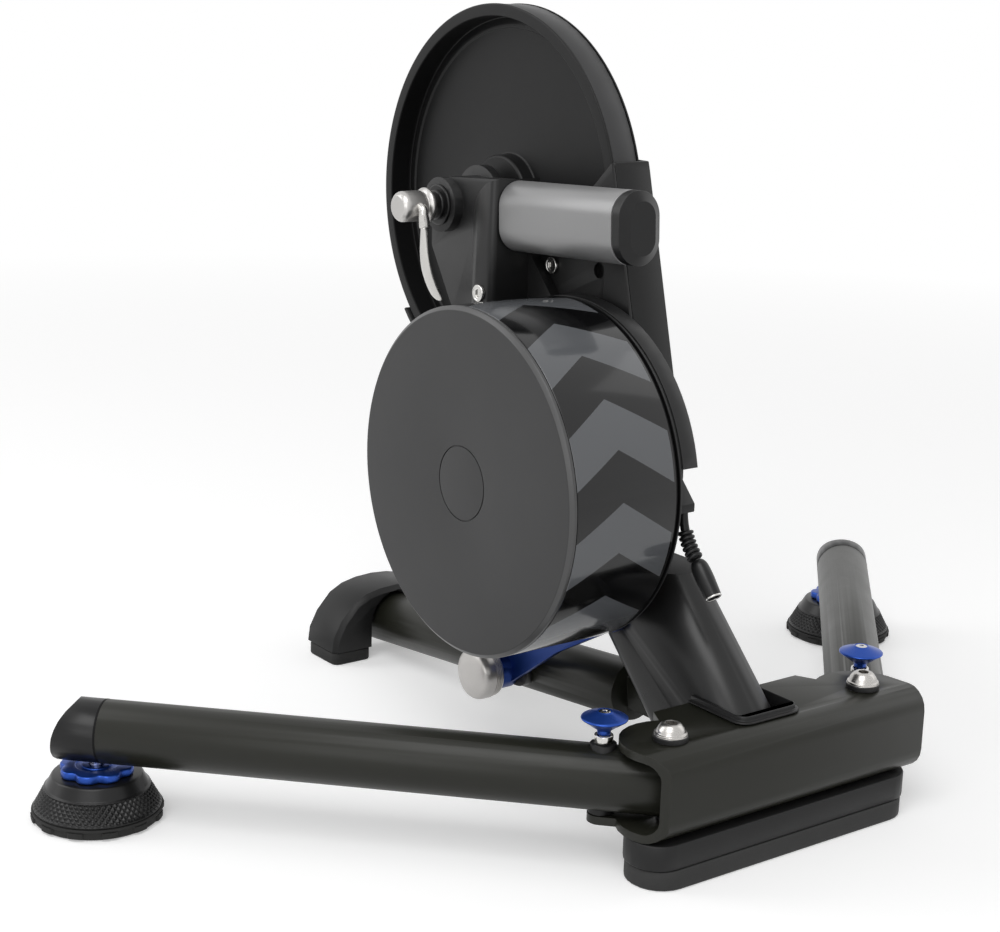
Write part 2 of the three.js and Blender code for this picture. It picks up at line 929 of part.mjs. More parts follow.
// Folding legs, laid out along +X from the fold bolt and then turned
const legSeam = footReach - capBefore;
const legEnd = footReach + capBeyond;
const legs = { right: 1, left: -1 };
const outward = new THREE.Matrix4()
  .makeTranslation(foldX, foldY, 0)
  .multiply(new THREE.Matrix4().makeRotationZ(lockAngle));
const mirror = new THREE.Matrix4().makeScale(-1, 1, 1);
function sideMatrix(side) {
  return side > 0 ? outward.clone() : mirror.clone().multiply(outward);
}
const tubeSection = (radius, from, to, steps) =>
  discX(radius, from, to, 0, legAxisZ, steps);
const rearTrim = cut(
  box(-legRadius - overrun, 0, -legRadius - overrun, legRadius + overrun, 0, bracketTop),
  discZ(legTail, -overrun, bracketTop + overrun, 0, 0, roundSteps),
);
const legBody = cut(
  tubeSection(legRadius, legStart, legSeam, fineSteps),
  tubeSection(legRadius - legWall, lockReach + legHollow, legSeam + overrun, roundSteps),
  rearTrim,
  discZ(boltShank + gap, 0, bracketTop, 0, 0, smallSteps),
  discZ(lockSleeveRadius + gap, 0, bracketTop, lockReach, 0, smallSteps),
);
const capEnd = capEndShares.map(([reach, rise]) => [
  legEnd + capSlant * reach,
  legAxisZ + legRadius * rise,
]);
const capOutline = [
  [legSeam + gap, legAxisZ - legRadius - overrun],
  [capEnd[0][0], legAxisZ - legRadius - overrun],
  ...capEnd,
  [capEnd.at(-1)[0], legAxisZ + legRadius + overrun],
  [legSeam + gap, legAxisZ + legRadius + overrun],
];
const capRoundOff = solidOf(
  plate(capOutline, 2 * (legRadius + overrun))
    .rotateX(Math.PI / 2)
    .translate(0, legRadius + overrun, 0),
);
const capBody = join(
  tubeSection(legRadius, legSeam + gap, legEnd + 2 * capSlant, fineSteps).intersect(capRoundOff),
  tubeSection(legRadius - legWall - gap, legSeam - capSpigot, legSeam + overrun, roundSteps),
);
const footScrewTop = legAxisZ - legRadius / 2;
const capPiece = capBody.subtract(
  discZ(footScrewRadius + gap, 0, footScrewTop + gap, footReach, 0, smallSteps),
);
const boltPiece = join(
  turnedZ(
    [
      [0, bracketTop + gap],
      [boltCollarRadius, bracketTop + gap],
      [boltCollarRadius, bracketTop + boltCollarHeight],
      [boltHeadRadius, bracketTop + boltCollarHeight],
      [boltHeadRadius, bracketTop + boltCollarHeight + boltHeadHeight - boltHeadEdge],
      [boltHeadRadius - boltHeadEdge, bracketTop + boltCollarHeight + boltHeadHeight],
      [0, bracketTop + boltCollarHeight + boltHeadHeight],
    ],
    0,
    0,
    roundSteps,
  ),
  discZ(boltShank, bracketBottom - boltNutHeight / 2, bracketTop + overrun, 0, 0, smallSteps),
  discZ(boltNutRadius, bracketBottom - boltNutHeight, bracketBottom - gap, 0, 0, hexSides),
).subtract(
  discZ(
    boltSocket,
    bracketTop + boltCollarHeight + boltHeadHeight - boltSocketDepth,
    bracketTop + 3 * boltHeadHeight,
    0,
    0,
    hexSides,
  ),
);
const sleeveTop = legAxisZ + legRadius + lockSleeveProud;
const sleeveLow = lowPlateTop + sleeveFloat;
const sleevePiece = turnedZ(
  [
    [lockPinRadius + gap, sleeveLow],
    [lockSleeveRadius, sleeveLow],
    [lockSleeveRadius, sleeveTop],
    [lockStemRadius + gap, sleeveTop],
    [lockStemRadius + gap, sleeveTop - sleeveWell],
    [lockPinRadius + gap, sleeveTop - sleeveWell],
  ],
  lockReach,
  0,
  smallSteps,
);
const ferrulePiece = turnedZ(
  [
    [lockStemRadius + gap, sleeveTop + gap],
    [ferruleRadius, sleeveTop + gap],
    [ferruleRadius, sleeveTop + gap + ferruleHeight],
    [lockStemRadius + gap, sleeveTop + gap + ferruleHeight],
  ],
  lockReach,
  0,
  smallSteps,
);
const pinTop = sleeveTop + ferruleHeight;
const pinPiece = turnedZ(
  [
    [0, lowPlateTop + gap],
    [lockPinRadius - pinPoint, lowPlateTop + gap],
    [lockPinRadius, lowPlateTop + gap + pinPoint],
    [lockPinRadius, pinTop],
    [0, pinTop],
  ],
  lockReach,
  0,
  tinySteps,
);
const mushroom = turnedZ(
  [
    [0, pinTop + gap],
    [lockStemRadius, pinTop + gap],
    [lockStemRadius, lockKnobLow],
    [lockKnobRadius, lockKnobRim],
    [lockKnobRadius, lockKnobRim + lockKnobRimThick],
    [lockKnobCrown, lockKnobTop],
    [0, lockKnobTop],
  ],
  lockReach,
  0,
  roundSteps,
);
const padProfile = [
  [0, 0],
  [footRadius - rubberTaper, 0],
  [footRadius, rubberTaper],
  [footRadius, rubberHeight],
  [0, rubberHeight],
];
const tabs = Array.from({ length: tabCount }, (_, i) =>
  moved(
    box(
      footRadius - tabDeep,
      footRadius + tabProud,
      -tabWide / 2,
      tabWide / 2,
      rubberTaper,
      rubberTaper + tabHigh,
    ),
    new THREE.Matrix4()
      .makeTranslation(footReach, 0, 0)
      .multiply(new THREE.Matrix4().makeRotationZ((2 * Math.PI * (i + 1 / 2)) / tabCount)),
  ),
);
const padPiece = join(turnedZ(padProfile, footReach, 0, fineSteps), ...tabs);
const knurlTop = rubberHeight + gap + knurlHeight;
const coneTop = knurlTop + coneHeight;
const footPiece = cut(
  turnedZ(
    [
      [0, rubberHeight + gap],
      [footRadius - footShoulder, rubberHeight + gap],
      [knurlTopRadius, knurlTop],
      [coneTopRadius, coneTop],
      [0, coneTop],
    ],
    footReach,
    0,
    fineSteps,
  ),
  discZ(footScrewRadius + gap, coneTop - footSocketDepth, coneTop + overrun, footReach, 0, smallSteps),
);
const wheelOutline = Array.from({ length: fineSteps }, (_, i) => {
  const angle = (2 * Math.PI * i) / fineSteps;
  const radius = footWheelRadius - (footWheelDip * (1 - Math.cos(footWheelLobes * angle))) / 2;
  return [footReach + radius * Math.cos(angle), radius * Math.sin(angle)];
});
const footWheel = slabZ(wheelOutline, coneTop + gap, coneTop + gap + footWheelHeight).subtract(
  discZ(footScrewRadius + gap, coneTop - overrun, coneTop + 2 * footWheelHeight, footReach, 0, smallSteps),
);
const footScrew = discZ(
  footScrewRadius,
  coneTop - footSocketDepth + gap,
  footScrewTop,
  footReach,
  0,
  smallSteps,
);
const legPieces = {
  leg_tube: [legBody, paintedSteel],
  leg_cap: [capPiece, blackPlastic],
  fold_bolt: [boltPiece, brightSteel],
  lock_sleeve: [sleevePiece, blackPlastic],
  lock_ferrule: [ferrulePiece, brightSteel],
  lock_pin: [pinPiece, brightSteel],
  lock_knob: [mushroom, blueAnodised],
  foot_body: [footPiece, blackPlastic],
  foot_pad: [padPiece, blackRubber],
  foot_wheel: [footWheel, blueAnodised],
  foot_screw: [footScrew, brightSteel],
};
for (const [sideName, side] of Object.entries(legs)) {
  for (const [name, [solid, material]] of Object.entries(legPieces)) {
    add(`${sideName}_${name}`, moved(solid, sideMatrix(side)), material);
  }
}

// Mast, laid out upright at the cross bolt and then leaned forward
const lean = THREE.MathUtils.degToRad(mastLeanDegrees - 90);
const mastMatrix = new THREE.Matrix4()
  .makeTranslation(0, mastPivotY, mastPivotZ)
  .multiply(new THREE.Matrix4().makeRotationX(lean));
const mastSection = rounded([
  [mastX - mastWide / 2, -mastDeep / 2, mastCorner],
  [mastX + mastWide / 2, -mastDeep / 2, mastCorner],
  [mastX + mastWide / 2, mastDeep / 2, mastCorner / 2],
  [mastX - mastWide / 2, mastDeep / 2, mastCorner / 2],
]);
const mastBore = rounded([
  [mastX - mastWide / 2 + mastWall, -mastDeep / 2 + mastWall, mastCorner - mastWall],
  [mastX + mastWide / 2 - mastWall, -mastDeep / 2 + mastWall, mastCorner - mastWall],
  [mastX + mastWide / 2 - mastWall, mastDeep / 2 - mastWall, mastCorner / 2 - mastWall / 2],
  [mastX - mastWide / 2 + mastWall, mastDeep / 2 - mastWall, mastCorner / 2 - mastWall / 2],
]);
const mastLong = 2 * mastTopZ;
function mouthBox(rear, front, top) {
  const middle = spineX;
  const half = spineHalfWidth + mouthClear;
  return box(middle - half, middle + half, rear, front, -mastFoot - overrun, top);
}
const mastRaw = cut(
  moved(
    cut(
      slabZ(mastSection, -mastFoot, mastLong),
      slabZ(mastBore, -mastFoot - overrun, mastHollow),
      mouthBox(0, mastDeep, mastMouth),
      mouthBox(-mastDeep, 0, mastRearMouth),
    ),
    mastMatrix,
  ),
  box(-wallRight, wallRight, -mastLong, mastRearLimit, 0, mastPivotZ + mastFoot / 3),
  box(-wallRight, wallRight, 0, mastLong, mastTopZ, 3 * mastTopZ),
  box(-wallRight, wallRight, -mastLong, mastLong, -mastLong, mastBottomZ),
  pivotBore,
  discX(strutScrewRadius + gap, -wallRight, mastX, strutTopY, strutTopZ, smallSteps),
);
add("mast_tube", mastRaw, paintedSteel);
const pivotBolt = join(
  discX(
    pivotBoltRadius,
    mastX - mastWide / 2 - pivotHeadHeight,
    mastX + mastWide / 2 + pivotHeadHeight,
    mastPivotY,
    mastPivotZ,
    smallSteps,
  ),
  discX(
    pivotHeadRadius,
    mastX - mastWide / 2 - pivotHeadHeight - gap,
    mastX - mastWide / 2 - gap,
    mastPivotY,
    mastPivotZ,
    smallSteps,
  ),
  discX(
    pivotHeadRadius,
    mastX + mastWide / 2 + gap,
    mastX + mastWide / 2 + pivotHeadHeight + gap,
    mastPivotY,
    mastPivotZ,
    hexSides,
  ),
);
add("pivot_bolt", pivotBolt, brightSteel);

// Height strut with its clamp knob
const strutLowZ = tubeAt(strutLowY);
const strutRun = new THREE.Vector2(strutLowY - strutTopY, strutLowZ - strutTopZ);
const strutLength = strutRun.length();
const strutMatrix = new THREE.Matrix4()
  .makeTranslation(0, strutTopY, strutTopZ)
  .multiply(new THREE.Matrix4().makeRotationX(Math.atan2(strutRun.y, strutRun.x)));
const strutOutline = [
  ...arc(0, 0, strutTopRadius, strutEndDegrees, 360 - strutEndDegrees, fineArcSteps),
  [strutLength * strutWaistShare, -strutWaist],
  ...arc(strutLength, 0, strutLowRadius, strutEndDegrees - 180, 180 - strutEndDegrees, fineArcSteps),
  [strutLength * strutWaistShare, strutWaist],
];
const strutLeft = strutX - strutThick;
const strutBossLeft = strutLeft - strutBoss;
const strutPlate = moved(slabX(strutOutline, strutLeft, strutX), strutMatrix);
const strutPiece = cut(
  join(strutPlate, discX(strutLowRadius, strutBossLeft, strutX, strutLowY, strutLowZ, roundSteps)),
  discX(strutScrewRadius + gap, strutLeft - overrun, strutX + overrun, strutTopY, strutTopZ, smallSteps),
  discX(knobScrewRadius + gap, strutBossLeft - overrun, strutX + overrun, strutLowY, strutLowZ, smallSteps),
);
add("height_strut", strutPiece, blueAnodised);
const strutScrew = join(
  discX(
    strutScrewRadius,
    strutLeft - strutHeadHeight,
    mastX - mastWide / 2 + mastWall,
    strutTopY,
    strutTopZ,
    smallSteps,
  ),
  discX(
    strutHeadRadius,
    strutLeft - strutHeadHeight - gap,
    strutLeft - gap,
    strutTopY,
    strutTopZ,
    smallSteps,
  ),
);
add("strut_screw", strutScrew, brightSteel);
const ribAngle = (2 * Math.PI) / knobRibs;
const ribbed = Array.from({ length: knobRibs }, (_, i) => {
  const start = i * ribAngle;
  const crest = [start, start + ribAngle * knobRibShare];
  const valley = [start + ribAngle * (knobRibShare + 1) / 2];
  const at = (radius, angle) => [
    strutLowY + radius * Math.cos(angle),
    strutLowZ + radius * Math.sin(angle),
  ];
  return [
    ...crest.map((angle) => at(knobRadius, angle)),
    ...valley.map((angle) => at(knobRadius - 2 * knobRibDepth, angle)),
  ];
}).flat();
const knobRight = strutBossLeft - gap;
const knobLeft = knobRight - knobLength;
const knobBarrel = knobRadius - knobRibDepth * 2;
const knobPiece = join(
  slabX(ribbed, knobRight - knobBand, knobRight - knobCrownStep),
  turnedX(
    [
      [0, knobLeft],
      [knobRadius - knobCrown, knobLeft],
      [knobRadius - knobCrownStep, knobLeft + knobCrownStep],
      [knobRadius, knobLeft + knobCrown],
      [knobRadius, knobRight - knobBand - knobCrownStep],
      [knobBarrel, knobRight - knobBand],
      [knobBarrel, knobRight - knobCrownStep],
      [knobRadius - knobCrown, knobRight],
      [0, knobRight],
    ],
    strutLowY,
    strutLowZ,
    roundSteps,
  ),
  discX(
    knobScrewRadius,
    knobRight - overrun,
    -railBack + railLip + railNutThick,
    strutLowY,
    strutLowZ,
    smallSteps,
  ),
  discX(
    railNutRadius - gap,
    -railBack + railLip + gap,
    -railBack + railLip + railNutThick,
    strutLowY,
    strutLowZ,
    smallSteps,
  ),
);
add("clamp_knob", knobPiece, brightSteel);

// Flywheel with its cover
const coverRight = wheelCoverX + coverThick;
const webLeft = coverRight + gap;
const shaftRight = pulleyRight + shaftProud;
const flywheelPiece = turnedX(
  [
    [0, webLeft],
    [wheelRadius, webLeft],
    [wheelRadius, wheelGapX],
    [wheelRadius - wheelRimThick, wheelGapX],
    [wheelRadius - wheelRimThick, webLeft + webThick],
    [2 * wheelShaftRadius, webLeft + webThick],
    [2 * wheelShaftRadius, webLeft + 3 * webThick],
    [wheelShaftRadius, webLeft + 3 * webThick],
    [wheelShaftRadius, shaftRight],
    [0, shaftRight],
  ],
  wheelY,
  wheelZ,
  fineSteps,
);
add("flywheel", flywheelPiece, rimGloss);
const coverPiece = turnedX(
  [
    [0, wheelCoverX],
    [wheelCapRadius - coverGroove, wheelCoverX],
    [wheelCapRadius - coverGroove, wheelCoverX + coverGroove],
    [wheelCapRadius, wheelCoverX + coverGroove],
    [wheelCapRadius, wheelCoverX],
    [wheelRadius - coverChamfer, wheelCoverX],
    [wheelRadius, wheelCoverX + coverChamfer],
    [wheelRadius, coverRight],
    [0, coverRight],
  ],
  wheelY,
  wheelZ,
  fineSteps,
);
add("flywheel_cover", coverPiece, coverGrey);
const smallPulley = turnedX(
  [
    [wheelShaftRadius + gap, pulleyLeft],
    [smallPulleyRadius + beltThick, pulleyLeft],
    [smallPulleyRadius + beltThick, pulleyLeft + flangeThick],
    [smallPulleyRadius, pulleyLeft + flangeThick],
    [smallPulleyRadius, pulleyRight - flangeThick],
    [smallPulleyRadius + beltThick, pulleyRight - flangeThick],
    [smallPulleyRadius + beltThick, pulleyRight],
    [wheelShaftRadius + gap, pulleyRight],
  ],
  wheelY,
  wheelZ,
  roundSteps,
);
add("small_pulley", smallPulley, blackCasting);

// Brake housing, open to the wheel, and the coil ring inside
const housingLeft = wheelGapX + wheelGap;
const housingWall = castingLeftPlate - gap - housingFlange;
const lipArc = (radius, steps) => arc(wheelY, wheelZ, radius, housingFront, 180 - housingEndDegrees, steps);
const lipOutline = [
  ...lipArc(wheelRadius, fineSteps),
  ...lipArc(wheelRadius - housingLip, fineSteps).reverse(),
];
const flangeOutline = [...lipArc(wheelRadius, fineSteps), [wheelY, wheelZ]];
const housingPiece = cut(
  join(
    slabX(lipOutline, housingLeft + housingChamfer, castingLeftPlate - gap),
    slabX(
      [
        ...lipArc(wheelRadius - housingChamfer / 2, fineSteps),
        ...lipArc(wheelRadius - housingLip, fineSteps).reverse(),
      ],
      housingLeft,
      housingLeft + 2 * housingChamfer,
    ),
    slabX(flangeOutline, housingWall, castingLeftPlate - gap),
    discX(housingDisc, housingWall, castingLeftPlate - gap, wheelY, wheelZ, roundSteps),
    ringX(
      statorInner,
      statorInner - housingLip,
      statorLeft + statorThick / 2,
      housingWall + overrun / 2,
      wheelY,
      wheelZ,
      roundSteps,
    ),
  ),
  discX(shaftBore, housingWall - overrun, 0, wheelY, wheelZ, roundSteps),
);
add("brake_housing", housingPiece, blackCasting);
const poles = Array.from({ length: statorPoles }, (_, i) =>
  moved(
    box(
      statorLeft,
      statorLeft + statorThick,
      statorInner + gap + housingLip / 2,
      statorOuter,
      -statorPoleWide / 2,
      statorPoleWide / 2,
    ),
    new THREE.Matrix4()
      .makeTranslation(0, wheelY, wheelZ)
      .multiply(new THREE.Matrix4().makeRotationX((2 * Math.PI * i) / statorPoles)),
  ),
);
const statorPiece = join(
  ringX(
    statorInner + statorRing,
    statorInner + gap,
    statorLeft + statorThick / 4,
    statorLeft + (3 * statorThick) / 4,
    wheelY,
    wheelZ,
    roundSteps,
  ),
  ...poles,
).subtract(discX(statorInner + gap, statorLeft - overrun, 0, wheelY, wheelZ, roundSteps));
add("brake_coils", statorPiece, copperCoil);

// Power socket, lead root and connector
const socketCut = slabX(
  [
    ...arc(wheelY, wheelZ, 2 * wheelRadius, housingFront, 180 - housingEndDegrees + socketSlack, fineSteps),
    [wheelY, wheelZ],
  ],
  -wheelRadius,
  0,
);
const socketOutline = [
  [socketY, socketZ],
  [socketY + socketDeep, socketZ],
  [socketY + socketDeep, socketZ + socketHigh],
  [socketY + socketSlope, socketZ + socketHigh],
  [socketY + socketSlope, socketZ + socketShelf],
  [socketY, socketZ + socketTip],
];
const socketPiece = slabX(
  socketOutline,
  socketX - socketWide / 2,
  socketX + socketWide / 2,
).subtract(socketCut);
add("power_socket", socketPiece, blackPlastic);
function alongLine(profile, from, to, steps) {
  const heading = new THREE.Vector3().subVectors(to, from).normalize();
  const turn = new THREE.Quaternion().setFromUnitVectors(new THREE.Vector3(0, 0, 1), heading);
  const place = new THREE.Matrix4().compose(from, turn, new THREE.Vector3(1, 1, 1));
  return solidOf(turned(profile, steps).applyMatrix4(place));
}
const leadStart = new THREE.Vector3(leadX, leadStartY, leadStartZ);
const leadBend = new THREE.Vector3(leadX, leadBendY, leadBendZ);
const leadEnd = new THREE.Vector3(leadX, leadEndY, leadEndZ);
const reliefLength = leadStart.distanceTo(leadBend);
const nozzle = reliefLength * nozzleShare;
const ribPitch = (reliefLength - nozzle) / ribCount;
const reliefProfile = [
  [0, 0],
  [leadRadius, 0],
  [leadRadius, nozzle],
];
for (let i = 0; i < ribCount; i += 1) {
  reliefProfile.push([leadRadius + ribProud, nozzle + ribPitch * i]);
  reliefProfile.push([leadRadius + ribProud, nozzle + ribPitch * (i + ribShare)]);
  reliefProfile.push([leadRadius, nozzle + ribPitch * (i + ribShare)]);
  if (i < ribCount - 1) reliefProfile.push([leadRadius, nozzle + ribPitch * (i + 1)]);
}
reliefProfile.push([leadRadius, reliefLength]);
reliefProfile.push([0, reliefLength]);
add("lead_relief", alongLine(reliefProfile, leadStart, leadBend, tinySteps), blackPlastic);
const connectorStart = leadBend.clone().lerp(leadEnd, connectorGapShare);
const connectorReach = connectorStart.distanceTo(leadEnd);
const connectorProfile = [
  [0, 0],
  [leadRadius, 0],
  [connectorRadius, connectorRingLength],
  [connectorRadius, connectorReach - 2 * connectorRingLength],
  [connectorRing, connectorReach - 2 * connectorRingLength],
  [connectorRing, connectorReach],
  [connectorRing - leadRadius / 2, connectorReach],
  [connectorRing - leadRadius / 2, connectorReach - connectorRingLength],
  [0, connectorReach - connectorRingLength],
];
add("lead_connector", alongLine(connectorProfile, connectorStart, leadEnd, tinySteps), blackPlastic);

// Body casting: side plate, neck and dropout arm
const plateReach = [wheelY, wheelZ];
const headingToHub = Math.atan2(hubZ - wheelZ, hubY - wheelY);
const sideStep = new THREE.Vector2(-Math.sin(headingToHub), Math.cos(headingToHub));
const beam = [
  [plateReach[0] + sideStep.x * beamHalf, plateReach[1] + sideStep.y * beamHalf],
  [plateReach[0] - sideStep.x * beamHalf, plateReach[1] - sideStep.y * beamHalf],
  [hubY - sideStep.x * beamEnd, hubZ - sideStep.y * beamEnd],
  [hubY + sideStep.x * beamEnd, hubZ + sideStep.y * beamEnd],
];
const leanAngle = THREE.MathUtils.degToRad(mastLeanDegrees);
const wheelForward = wheelY - mastPivotY;
const wheelRise = wheelZ - mastPivotZ;
const wheelAlong = wheelForward * Math.sin(leanAngle) + wheelRise * Math.cos(leanAngle);
const wheelAside = wheelForward * Math.cos(leanAngle) - wheelRise * Math.sin(leanAngle);
const discEdge = wheelAlong - Math.sqrt(housingDisc ** 2 - wheelAside ** 2);
const tongueTo = discEdge + tongueOverlap;
const tongue = moved(
  slabX(
    [
      [-tongueRear, tongueFrom],
      [tongueFront, tongueFrom],
      [tongueFront, tongueTo],
      [-tongueRear, tongueTo],
    ],
    castingLeftPlate,
    castingRightLow,
  ),
  mastMatrix,
);
const wheelRoom = discX(
  wheelRadius + wheelClear,
  -3 * wheelRadius,
  castingLeftPlate,
  wheelY,
  wheelZ,
  fineSteps,
);
const neckOutline = [
  [neckRearY, neckLowZ - neckDrop],
  [neckFrontY, neckLowZ - neckDrop],
  ...neckShoulderShares.map(([forward, rise]) => [
    neckRearY + (neckFrontY - neckRearY) * forward,
    neckBendZ + (neckTopZ - neckBendZ) * rise,
  ]),
];
const neckPlan = rounded([
  [armLeft, neckRearY, neckRearRound],
  [castingRight, neckRearY, 0],
  [castingRight, neckFrontY, 0],
  [armLeft, neckFrontY, neckFrontRound],
]);
const neckBlock = slabX(neckOutline, armLeft, castingRight).intersect(
  slabZ(neckPlan, neckLowZ - neckDrop, neckTopZ),
);
const armOutline = rounded([
  [neckRearY, neckLowZ - neckDrop],
  [armDiagonalLowY, armDiagonalLowZ, neckRound],
  [armDiagonalHighY, armDiagonalHighZ, neckRound],
  [hubY + hubBossRadius, hubZ],
  [hubY, hubZ + hubBossRadius],
  [neckRearY, neckTopZ],
]);
const casting = cut(
  join(
    slabX(beam, castingLeftPlate, castingRight),
    discX(housingDisc, castingLeftPlate, castingRightLow, wheelY, wheelZ, roundSteps),
    discX(beamEnd, castingLeftPlate, castingRight, hubY, hubZ, roundSteps),
    tongue,
    neckBlock,
    slabX(armOutline, armLeft + armInset, armLeft + armInset + armThick),
    discX(hubBossRadius, hubBossLeft, castingRight, hubY, hubZ, roundSteps),
  ),
  wheelRoom,
  discX(shaftBore, -2 * wheelRadius, 0, wheelY, wheelZ, roundSteps),
  discX(axleRadius + gap, -2 * wheelRadius, 0, hubY, hubZ, smallSteps),
  discX(strutTopRadius + strutClear, -wallRight, mastX, strutTopY, strutTopZ, roundSteps),
  slabZ(
    [
      [castingRightLow, 0],
      [castingRight + overrun, 0],
      [castingRight + overrun, hubY],
      [castingRightLow, hubY],
    ],
    0,
    mastTopZ + gap,
  ),
);
add("frame_casting", casting, blackCasting);
const screwOneAngle = THREE.MathUtils.degToRad(screwOneDegrees);
const screwOneReach = wheelRadius + screwOneClear;
const screwOneY = wheelY + screwOneReach * Math.cos(screwOneAngle);
const screwOneZ = wheelZ + screwOneReach * Math.sin(screwOneAngle);
const screws = [
  ["neck_screw_upper", armLeft, screwOneY, screwOneZ],
  ["neck_screw_lower", backplateX, screwTwoY, screwTwoZ],
];
for (const [name, face, y, z] of screws) {
  const screw = discX(neckScrewRadius, face - neckScrewProud, face - gap, y, z, smallSteps).subtract(
    discX(neckScrewRadius / 2, face - 2 * neckScrewProud, face - neckScrewProud / 2, y, z, hexSides),
  );
  add(name, screw, brightSteel);
}

// Carry handle
const handleMatrix = new THREE.Matrix4()
  .makeTranslation(0, neckRearY - gap, handleZ)
  .multiply(new THREE.Matrix4().makeRotationX(-THREE.MathUtils.degToRad(handleTiltDegrees)));
const handleSection = oblong(handleX, 0, handleWide, handleHigh, handleWide / 2, arcSteps);
const handleCapSection = oblong(
  handleX,
  0,
  handleWide - 2 * handleCapBevel,
  handleHigh - 2 * handleCapBevel,
  handleWide / 2 - handleCapBevel,
  arcSteps,
);
const grip = moved(slabY(handleSection, -handleLength, 0), handleMatrix).subtract(
  box(-wallRight, 0, neckRearY - gap, hubY, neckLowZ, 2 * neckTopZ),
);
add("carry_handle", grip, gripGrey);
const capBase = slabY(handleSection, -handleLength - handleCapBase, -handleLength - gap);
const capCrown = loftY(
  handleSection,
  handleCapSection,
  -handleLength - handleCapBase,
  -handleLength - handleCapLength,
);
add("handle_cap", moved(join(capBase, capCrown), handleMatrix), blackPlastic);

// Drive pulley
const beltSeat = pulleyRadius - beltThick - beltSink;
const dishInner = pulleyRadius - dishRim;
const pulleyProfile = [
  [axleRadius + gap, bossLeft],
  [bossRadius, bossLeft],
  [bossRadius, webX],
  [beadRadius, webX],
  [beadRadius, webX - beadProud],
  [beadRadius + 2 * beadProud, webX - beadProud],
  [beadRadius + 2 * beadProud, webX],
  [dishInner, webX],
  [dishInner, pulleyLeft],
  [pulleyRadius, pulleyLeft],
  [pulleyRadius, pulleyLeft + flangeThick],
  [beltSeat, pulleyLeft + flangeThick],
  [beltSeat, pulleyRight - flangeThick],
  [pulleyRadius, pulleyRight - flangeThick],
  [pulleyRadius, pulleyRight],
  [dishInner, pulleyRight],
  [dishInner, webX + webPlate],
  [bossRadius, webX + webPlate],
  [bossRadius, pulleyRight],
  [axleRadius + gap, pulleyRight],
];
add("drive_pulley", turnedX(pulleyProfile, hubY, hubZ, fineSteps), blackCasting);

// Drive belt round both pulleys
const beltLeft = pulleyLeft + flangeThick + gap;
const beltRight = pulleyRight - flangeThick - gap;
const beltInnerHub = beltSeat + gap;
const beltInnerSmall = smallPulleyRadius + gap;
const beltPiece = cut(
  slabX(wrapOutline(beltInnerHub + beltThick, beltInnerSmall + beltThick), beltLeft, beltRight),
  slabX(wrapOutline(beltInnerHub, beltInnerSmall), beltLeft - overrun, beltRight + overrun),
);
add("drive_belt", beltPiece, blackRubber);

// Belt guard and its back plate
const guardOuterHub = pulleyRadius + guardClear + guardWall;
const guardInnerHub = guardOuterHub - guardWall;
const guardLeft = backplateX + backplateThick + guardBandGap;
const guardShell = cut(
  slabX(wrapOutline(guardOuterHub, guardFootRadius), guardLeft, guardRight),
  slabX(wrapOutline(guardInnerHub, guardFootRadius - guardWall), backplateX, guardRight - guardWall),
);
const guardCut = slabX(
  [
    [0, guardTopZ],
    [guardCutY, guardTopZ],
    [guardFrontY, guardFrontZ],
    [2 * guardFrontY, guardFrontZ],
    [2 * guardFrontY, 2 * guardTopZ],
    [0, 2 * guardTopZ],
  ],
  -wallRight,
  wallRight,
);
const guardPiece = cut(
  guardShell,
  guardCut,
  discX(freehubFlange + 2 * overrun, 0, wallRight, hubY, hubZ, roundSteps),
);
add("belt_guard", guardPiece, blackPlastic);
const backOutline = wrapOutline(guardOuterHub, guardFootRadius);
const backPiece = cut(
  slabX(backOutline, backplateX, backplateX + backplateThick),
  guardCut,
  slabX(
    [
      [backTopY, guardTopZ],
      [backLowY, backLowZ],
      [backLowY, 0],
      [2 * guardFrontY, 0],
      [2 * guardFrontY, 2 * guardTopZ],
      [backTopY, 2 * guardTopZ],
    ],
    -wallRight,
    wallRight,
  ),
  discX(shaftBore, -wallRight, 0, wheelY, wheelZ, roundSteps),
  discX(backHoleRadius, -wallRight, 0, backHoleY, backHoleZ, tinySteps),
);
add("belt_backplate", backPiece, blackPlastic);

// Hub axle with stepped ends
const axlePiece = turnedX(
  [
    [axleBore, -dropoutHalf],
    [endCapStep, -dropoutHalf],
    [endCapStep, -dropoutHalf + endCapStepThick],
    [endCapRadius, -dropoutHalf + endCapStepThick],
    [endCapRadius, hubBossLeft - gap],
    [axleRadius, hubBossLeft - gap],
    [axleRadius, freehubRight + gap],
    [endCapRadius, freehubRight + gap],
    [endCapRadius, dropoutHalf - endCapStepThick],
    [endCapStep, dropoutHalf - endCapStepThick],
    [endCapStep, dropoutHalf],
    [axleBore, dropoutHalf],
  ],
  hubY,
  hubZ,
  roundSteps,
);
add("hub_axle", axlePiece, blackCasting);

